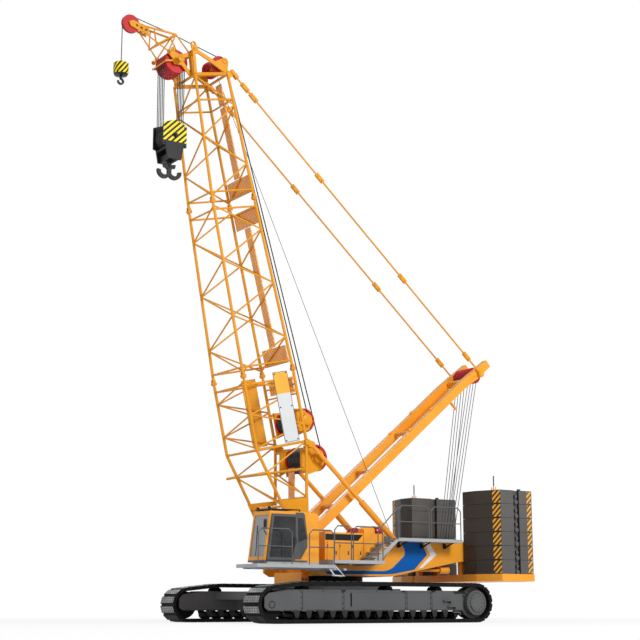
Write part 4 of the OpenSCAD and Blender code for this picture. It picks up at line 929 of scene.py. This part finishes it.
class CRANE_OT_hazard_bars(bpy.types.Operator):
    """Hazard bars on the counterweights and the hook block"""
    bl_idname = "crane.hazard_bars"
    bl_label = "Hazard bars"

    def execute(self, context):
        depth = context.scene.crane_sizes.sticker
        self.stack_bars(depth)
        centre = joint_place["block_pulley_spin"].x
        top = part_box("main_block")[1].z
        half, low, shoulder, pitch = 0.44, 0.78, 0.17, 0.2
        fall = shoulder / half
        roof = ((-fall, 1, low - shoulder), (fall, 1, low - shoulder + 2 * half * fall))
        bars = Form()
        for outline in bars_in(2 * half, low, pitch, roof):
            bars.plate(outline, lambda u, v, w: Vector((
                centre + half - u, hook_side + paint_gap + w, top - low + v)), depth)
        bars.piece("hook_block_bars", "lemon", "hook_block", both=True)
        return {"FINISHED"}

    def stack_bars(self, depth):
        """Bars on the slanted front corner and at the rear of the stacks."""
        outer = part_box("counterweight_left")[1].y + paint_gap
        corner, rear = Vector((-5.2, outer, 0)), -6.41
        along = (Vector((-4.87, 2.18, 0)) - Vector((-5.2, 3.15, 0))).normalized()
        out = Vector((-along.y, along.x, 0))
        height, pitch, margin = 0.42, 0.19, 0.03
        front_width, front_start, rear_width = 0.32, 0.33, 0.2
        bars = Form()
        for i in range(block_count):
            z = stack_low + i * block_height + margin
            for outline in bars_in(front_width, height, pitch):
                bars.plate(outline, lambda u, v, w, z=z: corner + along * (front_start - u)
                           + out * (w + paint_gap) + Vector((0, 0, z + v)), depth)
            for outline in bars_in(rear_width, height, pitch):
                bars.plate(outline, lambda u, v, w, z=z: Vector((rear - u, outer + w, z + v)), depth)
        bars.piece("counterweight_bars", "amber", "superstructure", both=True)


class CRANE_OT_track_shoes(bpy.types.Operator):
    """Worn pads, holes and link pins of the track shoes; the holes are flat black discs of painted shade."""
    bl_idname = "crane.track_shoes"
    bl_label = "Track shoes"

    def execute(self, context):
        belt = Belt([(*sprocket, 0.605), (*idler, 0.535), (*carrier_roller, 0.22)])
        count, cleat, pad_depth, margin, lowest_facing = 64, 0.045, 0.004, 0.02, -0.6
        pad_start, pad_end, link_depth, hole = 0.24, 0.94, 0.034, 0.026
        inner, outer = (corner.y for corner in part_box("track_left"))
        middle = (inner + outer) / 2
        reach = (outer - inner) / 2 - margin
        pitch = belt.length / count
        pads, holes, pins = Form(), Form(), Form()
        for k in range(count):
            start = belt.at((k + pad_start) * pitch, cleat)
            along = belt.at((k + pad_end) * pitch, cleat) - start
            out = Vector((along.y, -along.x)).normalized()

            def on_pad(u, v, w, start=start, along=along, out=out):
                spot = start + along * u + out * w
                return Vector((spot.x, middle + v, spot.y))

            if out.y > lowest_facing:
                pads.plate([(0.06, -reach), (0.94, -reach), (0.94, reach), (0.06, reach)], on_pad, pad_depth)
                for u in (0.32, 0.68):
                    for v in (-0.36, -0.21, -0.07, 0.07, 0.21, 0.36):
                        # Painted shade: each hole is a flat black disc on the pad, with no opening cut.
                        holes.lathe([(hole, 0), (hole, 0.0016)], on_pad(u, v, pad_depth), 12,
                                    (out.x, 0, out.y))
            link = belt.at(k * pitch, -link_depth)
            pins.lathe([(0.03, 0), (0.03, 0.006), (0.022, 0.009)], (link.x, outer, link.y), 12)
        for form, name, finish in ((pads, "shoe_pads", "pad"), (holes, "shoe_holes", "black"),
                                   (pins, "link_pins", "soot")):
            form.piece(name, finish, "undercarriage", both=True)
        return {"FINISHED"}


class CRANE_OT_crawler_fittings(bpy.types.Operator):
    """Bolts, weld seams and hoses of the crawlers"""
    bl_idname = "crane.crawler_fittings"
    bl_label = "Crawler fittings"

    def execute(self, context):
        across, cover = context.scene.crane_sizes.bolt, 0.045
        small = across * 0.55
        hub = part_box("sprockets")[1].y - cover
        drive_bolts = Form()
        drive_bolts.bolt_ring((sprocket[0], hub, sprocket[1]), 0.35, 20, across)
        drive_bolts.bolt_ring((sprocket[0], hub + cover, sprocket[1]), 0.22, 10, across * 0.8)
        drive_bolts.piece("drive_bolts", "graphite", "undercarriage", both=True)
        bolts = Form()
        for x in (2.956, 1.376, -1.115, -2.15):
            for z in (0.47, 0.62, 0.81, 0.96):
                bolts.bolt((x + 0.05, crawler_side, z), small)
        for x in (3.05, 2.2, 0.1, -0.5, -2.6, -3.2):
            bolts.bolt((x, crawler_side, 1.01), small)
        bolts.bolt_ring((idler[0], crawler_side, idler[1]), 0.1, 8, across * 0.7)
        bolts.piece("crawler_bolts", "soot", "undercarriage", both=True)
        seams = Form()
        for x in (2.956, 1.388, -1.115, -2.15):
            seams.tube([(x, crawler_side, 0.41), (x, crawler_side, 1.02)], 0.009, 6)
        seams.piece("crawler_seams", "soot", "undercarriage", both=True)
        hoses = Form()
        for shift, drop in ((0.0, 0.0), (0.07, 0.05)):
            hoses.tube(rounded_corner((-3.05 - shift, crawler_side + 0.012, 1.0 - drop),
                                      (-3.55 - shift, crawler_side + 0.03, 1.09 - drop),
                                      (-3.68 - shift, hub - 0.12, 0.87 - drop), 10), 0.02)
        for x in (1.41, -0.97, -2.2):
            hoses.block((x - 0.07, crawler_side - 0.02, 0.99), (x + 0.07, crawler_side + 0.03, 1.04), 0.008)
        hoses.piece("crawler_hoses", "black", "undercarriage", both=True)
        return {"FINISHED"}


class CRANE_OT_cab_panels(bpy.types.Operator):
    """Dark panel and pane behind the cab's door"""
    bl_idname = "crane.cab_panels"
    bl_label = "Cab panels"

    def execute(self, context):
        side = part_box("cab_frame")[1].y + paint_gap
        panel_depth, pane_depth, seal = 0.003, 0.002, 0.003
        panel = Form()
        panel.plate([(2.745, 3.47), (2.45, 3.475), (2.400, 3.40), (2.304, 2.70), (2.304, 2.377),
                     (2.558, 1.998), (2.745, 1.995)], flank(side), panel_depth)
        panel.piece("cab_side_panel", "trim", "superstructure")
        outline = [(2.665, 3.298), (2.47, 3.30), (2.345, 2.654), (2.645, 2.527)]
        pane = Form()
        pane.plate(outline, flank(side + panel_depth), pane_depth)
        pane.piece("cab_rear_pane", "smoke", "superstructure")
        seals = Form()
        seals.tube([(x, side + 0.004, z) for x, z in outline], seal, 6, closed=True)
        seals.piece("cab_seals", "black", "superstructure")
        return {"FINISHED"}


class CRANE_OT_cab_fittings(bpy.types.Operator):
    """Wiper, mirror and lamps of the cab and the lever of its door"""
    bl_idname = "crane.cab_fittings"
    bl_label = "Cab fittings"

    def execute(self, context):
        wiper = Form()
        wiper.tube([(3.93, 1.85, 2.10), (3.91, 1.86, 2.35), (3.85, 1.80, 2.85)], 0.012)
        wiper.tube([(3.89, 1.83, 2.45), (3.82, 1.78, 3.05)], 0.016, 6)
        wiper.piece("wiper", "black", "superstructure")
        mirror = Form()
        mirror.tube([(3.82, 2.32, 2.75), (3.98, 2.44, 2.86), (3.98, 2.46, 3.12)], 0.014)
        mirror.block((3.945, 2.40, 2.92), (3.985, 2.56, 3.22), 0.015)
        mirror.piece("mirror", "black", "superstructure")
        lamps = Form()
        for y in (1.5, 2.2):
            lamps.lathe([(0.03, 0), (0.05, 0.02), (0.055, 0.07), (0.045, 0.075)], (3.6, y, 3.61), 20,
                        (1, 0, -0.2))
            lamps.tube([(3.62, y, 3.60), (3.62, y, 3.55)], 0.012)
        lamps.piece("work_lamps", "black", "superstructure")
        lever = Form()
        face, x, low, high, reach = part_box("cab_door")[1].y, 2.80, 2.46, 2.66, 0.035
        lever.tube([(x, face, low), (x, face + reach, low), (x, face + reach, high), (x, face, high)], 0.011)
        lever.piece("door_lever", "black", "door")
        return {"FINISHED"}


class CRANE_OT_house_fittings(bpy.types.Operator):
    """Fittings of the house doors, the step under the deck, the junction box and the rams of the tray"""
    bl_idname = "crane.house_fittings"
    bl_label = "House fittings"

    def execute(self, context):
        metal = Form()
        for x in (-0.48, 0.02, 0.52):
            metal.block((x + 0.03, house_side - 0.004, 2.22), (x + 0.07, house_side + 0.022, 2.34), 0.006)
            for z in (2.02, 2.50):
                metal.lathe([(0.014, 0), (0.014, 0.09)], (x + 0.385, house_side + 0.004, z - 0.045), 12,
                            (0, 0, 1))
        for x in (0.9, -0.52):
            for z in (2.02, 2.62):
                metal.bolt((x, house_side - 0.02, z), context.scene.crane_sizes.bolt * 0.6)
        metal.piece("house_fittings", "trim", "superstructure", both=True)
        loops = Form()
        y, behind, bar, rung = 2.68, 2.68 - 0.14, 0.024, 0.014
        loops.tube([(1.66, y, 1.73), (1.64, y, 1.69), (1.47, y, 1.50), (1.08, y, 1.48), (1.33, y, 1.70),
                    (1.46, y, 1.80)], bar, 10)
        loops.tube([(1.64, y - 0.03, 1.69), (1.34, y - 0.03, 1.705)], rung)
        loops.tube([(1.47, behind, 1.50), (1.08, behind, 1.48)], bar, 10)
        for x in (1.10, 1.28, 1.46):
            loops.tube([(x, y, 1.49), (x, behind, 1.49)], rung)
        loops.piece("deck_step", "white", "superstructure")
        box = Form()
        box.block((-1.16, 2.10, 2.60), (-0.94, 2.16, 2.84), 0.012)
        box.tube([(-1.05, 2.13, 2.60), (-1.05, 2.13, 2.30), (-0.90, 2.13, 2.08)], 0.013)
        box.piece("junction_box", "trim", "superstructure")
        rams = Form()
        rams.lathe([(0.05, 0), (0.05, 0.85), (0.13, 0.86), (0.13, 0.90), (0.115, 0.91), (0.115, 1.20),
                    (0.13, 1.21), (0.13, 1.26), (0.08, 1.28)], (-3.1, 1.2, 1.765), 24, (-1, 0, 0))
        rams.piece("tray_rams", "yellow", "superstructure", both=True)
        return {"FINISHED"}


class CRANE_OT_boom_pins(bpy.types.Operator):
    """Pin heads at the boom's joints and its head"""
    bl_idname = "crane.boom_pins"
    bl_label = "Boom pins"

    def execute(self, context):
        across, head_side = context.scene.crane_sizes.bolt, 0.728
        pins = Form()
        for z, half in ((6.09, 0.993), (12.09, 0.828)):
            for side in (-1, 1):
                pins.lathe([(0.05, -0.03), (0.05, 0.016), (0.038, 0.026)],
                           on_boom(0.18 + side * half, half + 0.07, z), 16)
        for x, z, radius in ((1.145, 17.07, 0.12), (-0.56, 16.97, 0.1), (1.40, 17.39, 0.075),
                             (0.56, 17.40, 0.06)):
            spot = on_boom(x, head_side, z)
            pins.lathe([(radius, -0.01), (radius, 0.02), (radius * 0.8, 0.034)], spot)
            pins.bolt(spot + Vector((0, 0.034, 0)), across)
        pins.piece("boom_pins", "golden", "boom", both=True)
        return {"FINISHED"}


class CRANE_OT_mast_fittings(bpy.types.Operator):
    """Bolts on the legs of the mast"""
    bl_idname = "crane.mast_fittings"
    bl_label = "Mast fittings"

    def execute(self, context):
        bolts = Form()
        for z in (0.62, 3.1, 5.6, 8.1, 10.05):
            for x in (0.08, 0.26):
                for shift in (-0.07, 0.07):
                    bolts.bolt(on_mast(x, mast_side, z + shift), context.scene.crane_sizes.bolt * 0.7)
        bolts.piece("mast_bolts", "yellow", "live_mast", both=True)
        return {"FINISHED"}


class CRANE_OT_weight_fittings(bpy.types.Operator):
    """Knobs of the counterweight blocks and nuts of the hook block"""
    bl_idname = "crane.weight_fittings"
    bl_label = "Weight fittings"

    def execute(self, context):
        knobs = Form()
        for i in range(block_count):
            knobs.lathe([(0.05, -0.12), (0.05, -0.02), (0.075, -0.02), (0.075, 0.01), (0.06, 0.02)],
                        (-5.92, 3.15, stack_low + i * block_height + 0.06), 20)
        knobs.piece("weight_knobs", "trim", "superstructure", both=True)
        block, top = joint_place["block_pulley_spin"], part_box("main_block")[1].z
        nuts = Form()
        nuts.bolt((block.x, hook_axle_end, block.z), 0.11)
        for z in (-0.24, -0.88):
            for x in (-0.36, 0.36):
                nuts.bolt((block.x + x, hook_side, top + z), context.scene.crane_sizes.bolt)
        nuts.piece("hook_block_nuts", "black", "hook_block", both=True)
        return {"FINISHED"}


class CRANE_OT_studio(bpy.types.Operator):
    """Pale floor, soft lamps and the camera"""
    bl_idname = "crane.studio"
    bl_label = "Studio"

    def execute(self, context):
        scene, studio = context.scene, context.scene.crane_studio
        scene.view_settings.view_transform = "Standard"
        self.floor(studio.floor_glow)
        self.sky(scene, studio.sky)
        heading, rise = studio.heading, studio.rise
        level = math.cos(rise)
        ahead = Vector((-math.sin(heading) * level, -math.cos(heading) * level, math.sin(rise)))
        camera = bpy.data.cameras.new("camera")
        camera.lens = studio.lens
        camera.sensor_width = 36
        camera.clip_end = 400
        scene.camera = self.stand(scene, camera, studio.place, ahead)
        crane_middle = Vector((0, 0, 7))
        for name, place, size, watts in (("key_lamp", (-4, 38, 24), 12, studio.key),
                                         ("fill_lamp", (36, 10, 12), 18, studio.fill),
                                         ("back_lamp", (-8, -38, 22), 18, studio.back)):
            lamp = bpy.data.lights.new(name, "AREA")
            lamp.size = size
            lamp.energy = watts
            self.stand(scene, lamp, place, crane_middle - Vector(place))
        return {"FINISHED"}

    def stand(self, scene, data, place, ahead):
        """Puts a camera or lamp at a place, turned to look ahead."""
        held = bpy.data.objects.new(data.name, data)
        held.matrix_world = Matrix.Translation(place) @ ahead.to_track_quat("-Z", "Y").to_matrix().to_4x4()
        scene.collection.objects.link(held)
        return held

    def floor(self, glow_share):
        """A floor that keeps the shadow and fades to plain white with the distance."""
        reach, thick, fade_start, fade_end = 160.0, 0.02, 9.0, 30.0
        form = Form()
        form.plate([(-reach, -reach), (reach, -reach), (reach, reach), (-reach, reach)],
                   lambda u, v, w: Vector((u, v, w - thick)), thick)
        finish = Finish("studio_floor", {"Roughness": 0.9, "Specular IOR Level": 0.0})
        finish.material.cycles.emission_sampling = "NONE"
        grain = finish.noise(0.5, 4.0)
        finish.set("Base Color", finish.mix(grain, linear(250, 250, 250), linear(254, 254, 254)))
        finishes["floor"] = finish
        made = form.make("studio_floor", "floor")
        glow = finish.node("ShaderNodeEmission", {}, {"Strength": 1.0})
        away = finish.node("ShaderNodeVectorMath", {"operation": "LENGTH"}, {0: finish.place()}, "Value")
        fade = glow_share + (1 - glow_share) * finish.ramp(away, fade_start, fade_end)
        mixed = finish.node("ShaderNodeMixShader", {}, {
            0: finish.background_rays() * fade, 1: Wire(finish, finish.shader.outputs[0]), 2: glow})
        finish.feed(finish.tree.nodes["Material Output"].inputs[0], mixed)

    def sky(self, scene, strength):
        """A white sky that is plain to the camera and lights the crane by its strength."""
        world = bpy.data.worlds.new("studio_sky")
        scene.world = world
        world.use_nodes = True
        net = Net(world.node_tree)
        back = net.tree.nodes["Background"]
        net.feed(back.inputs["Strength"], net.background_rays().most(strength))
        net.feed(back.inputs["Color"], (1, 1, 1, 1))


class CRANE_PT_dressing(bpy.types.Panel):
    """Lists the steps that dress the crane"""
    bl_idname = "CRANE_PT_dressing"
    bl_label = "Crawler crane"
    bl_space_type = "VIEW_3D"
    bl_region_type = "UI"
    bl_category = "Crane"

    def draw(self, context):
        for step in steps:
            self.layout.operator(step.bl_idname)


steps = (CRANE_OT_paint, CRANE_OT_hoist_ropes, CRANE_OT_luffing_ropes, CRANE_OT_platform_line,
         CRANE_OT_windings, CRANE_OT_winch_covers, CRANE_OT_stripes, CRANE_OT_sign_edges,
         CRANE_OT_hazard_bars, CRANE_OT_track_shoes, CRANE_OT_crawler_fittings, CRANE_OT_cab_panels,
         CRANE_OT_cab_fittings, CRANE_OT_house_fittings, CRANE_OT_boom_pins, CRANE_OT_mast_fittings,
         CRANE_OT_weight_fittings, CRANE_OT_studio)
groups = {"crane_paint": CranePaint, "crane_sizes": CraneSizes, "crane_studio": CraneStudio}


def register():
    for kind in (*groups.values(), *steps, CRANE_PT_dressing):
        bpy.utils.register_class(kind)
    for name, kind in groups.items():
        setattr(bpy.types.Scene, name, PointerProperty(type=kind))


def unregister():
    for name in groups:
        delattr(bpy.types.Scene, name)
    for kind in (CRANE_PT_dressing, *reversed(steps), *groups.values()):
        bpy.utils.unregister_class(kind)


def main():
    register()
    for step in steps:
        group, name = step.bl_idname.split(".")
        getattr(getattr(bpy.ops, group), name)()


if __name__ == "__main__":
    main()
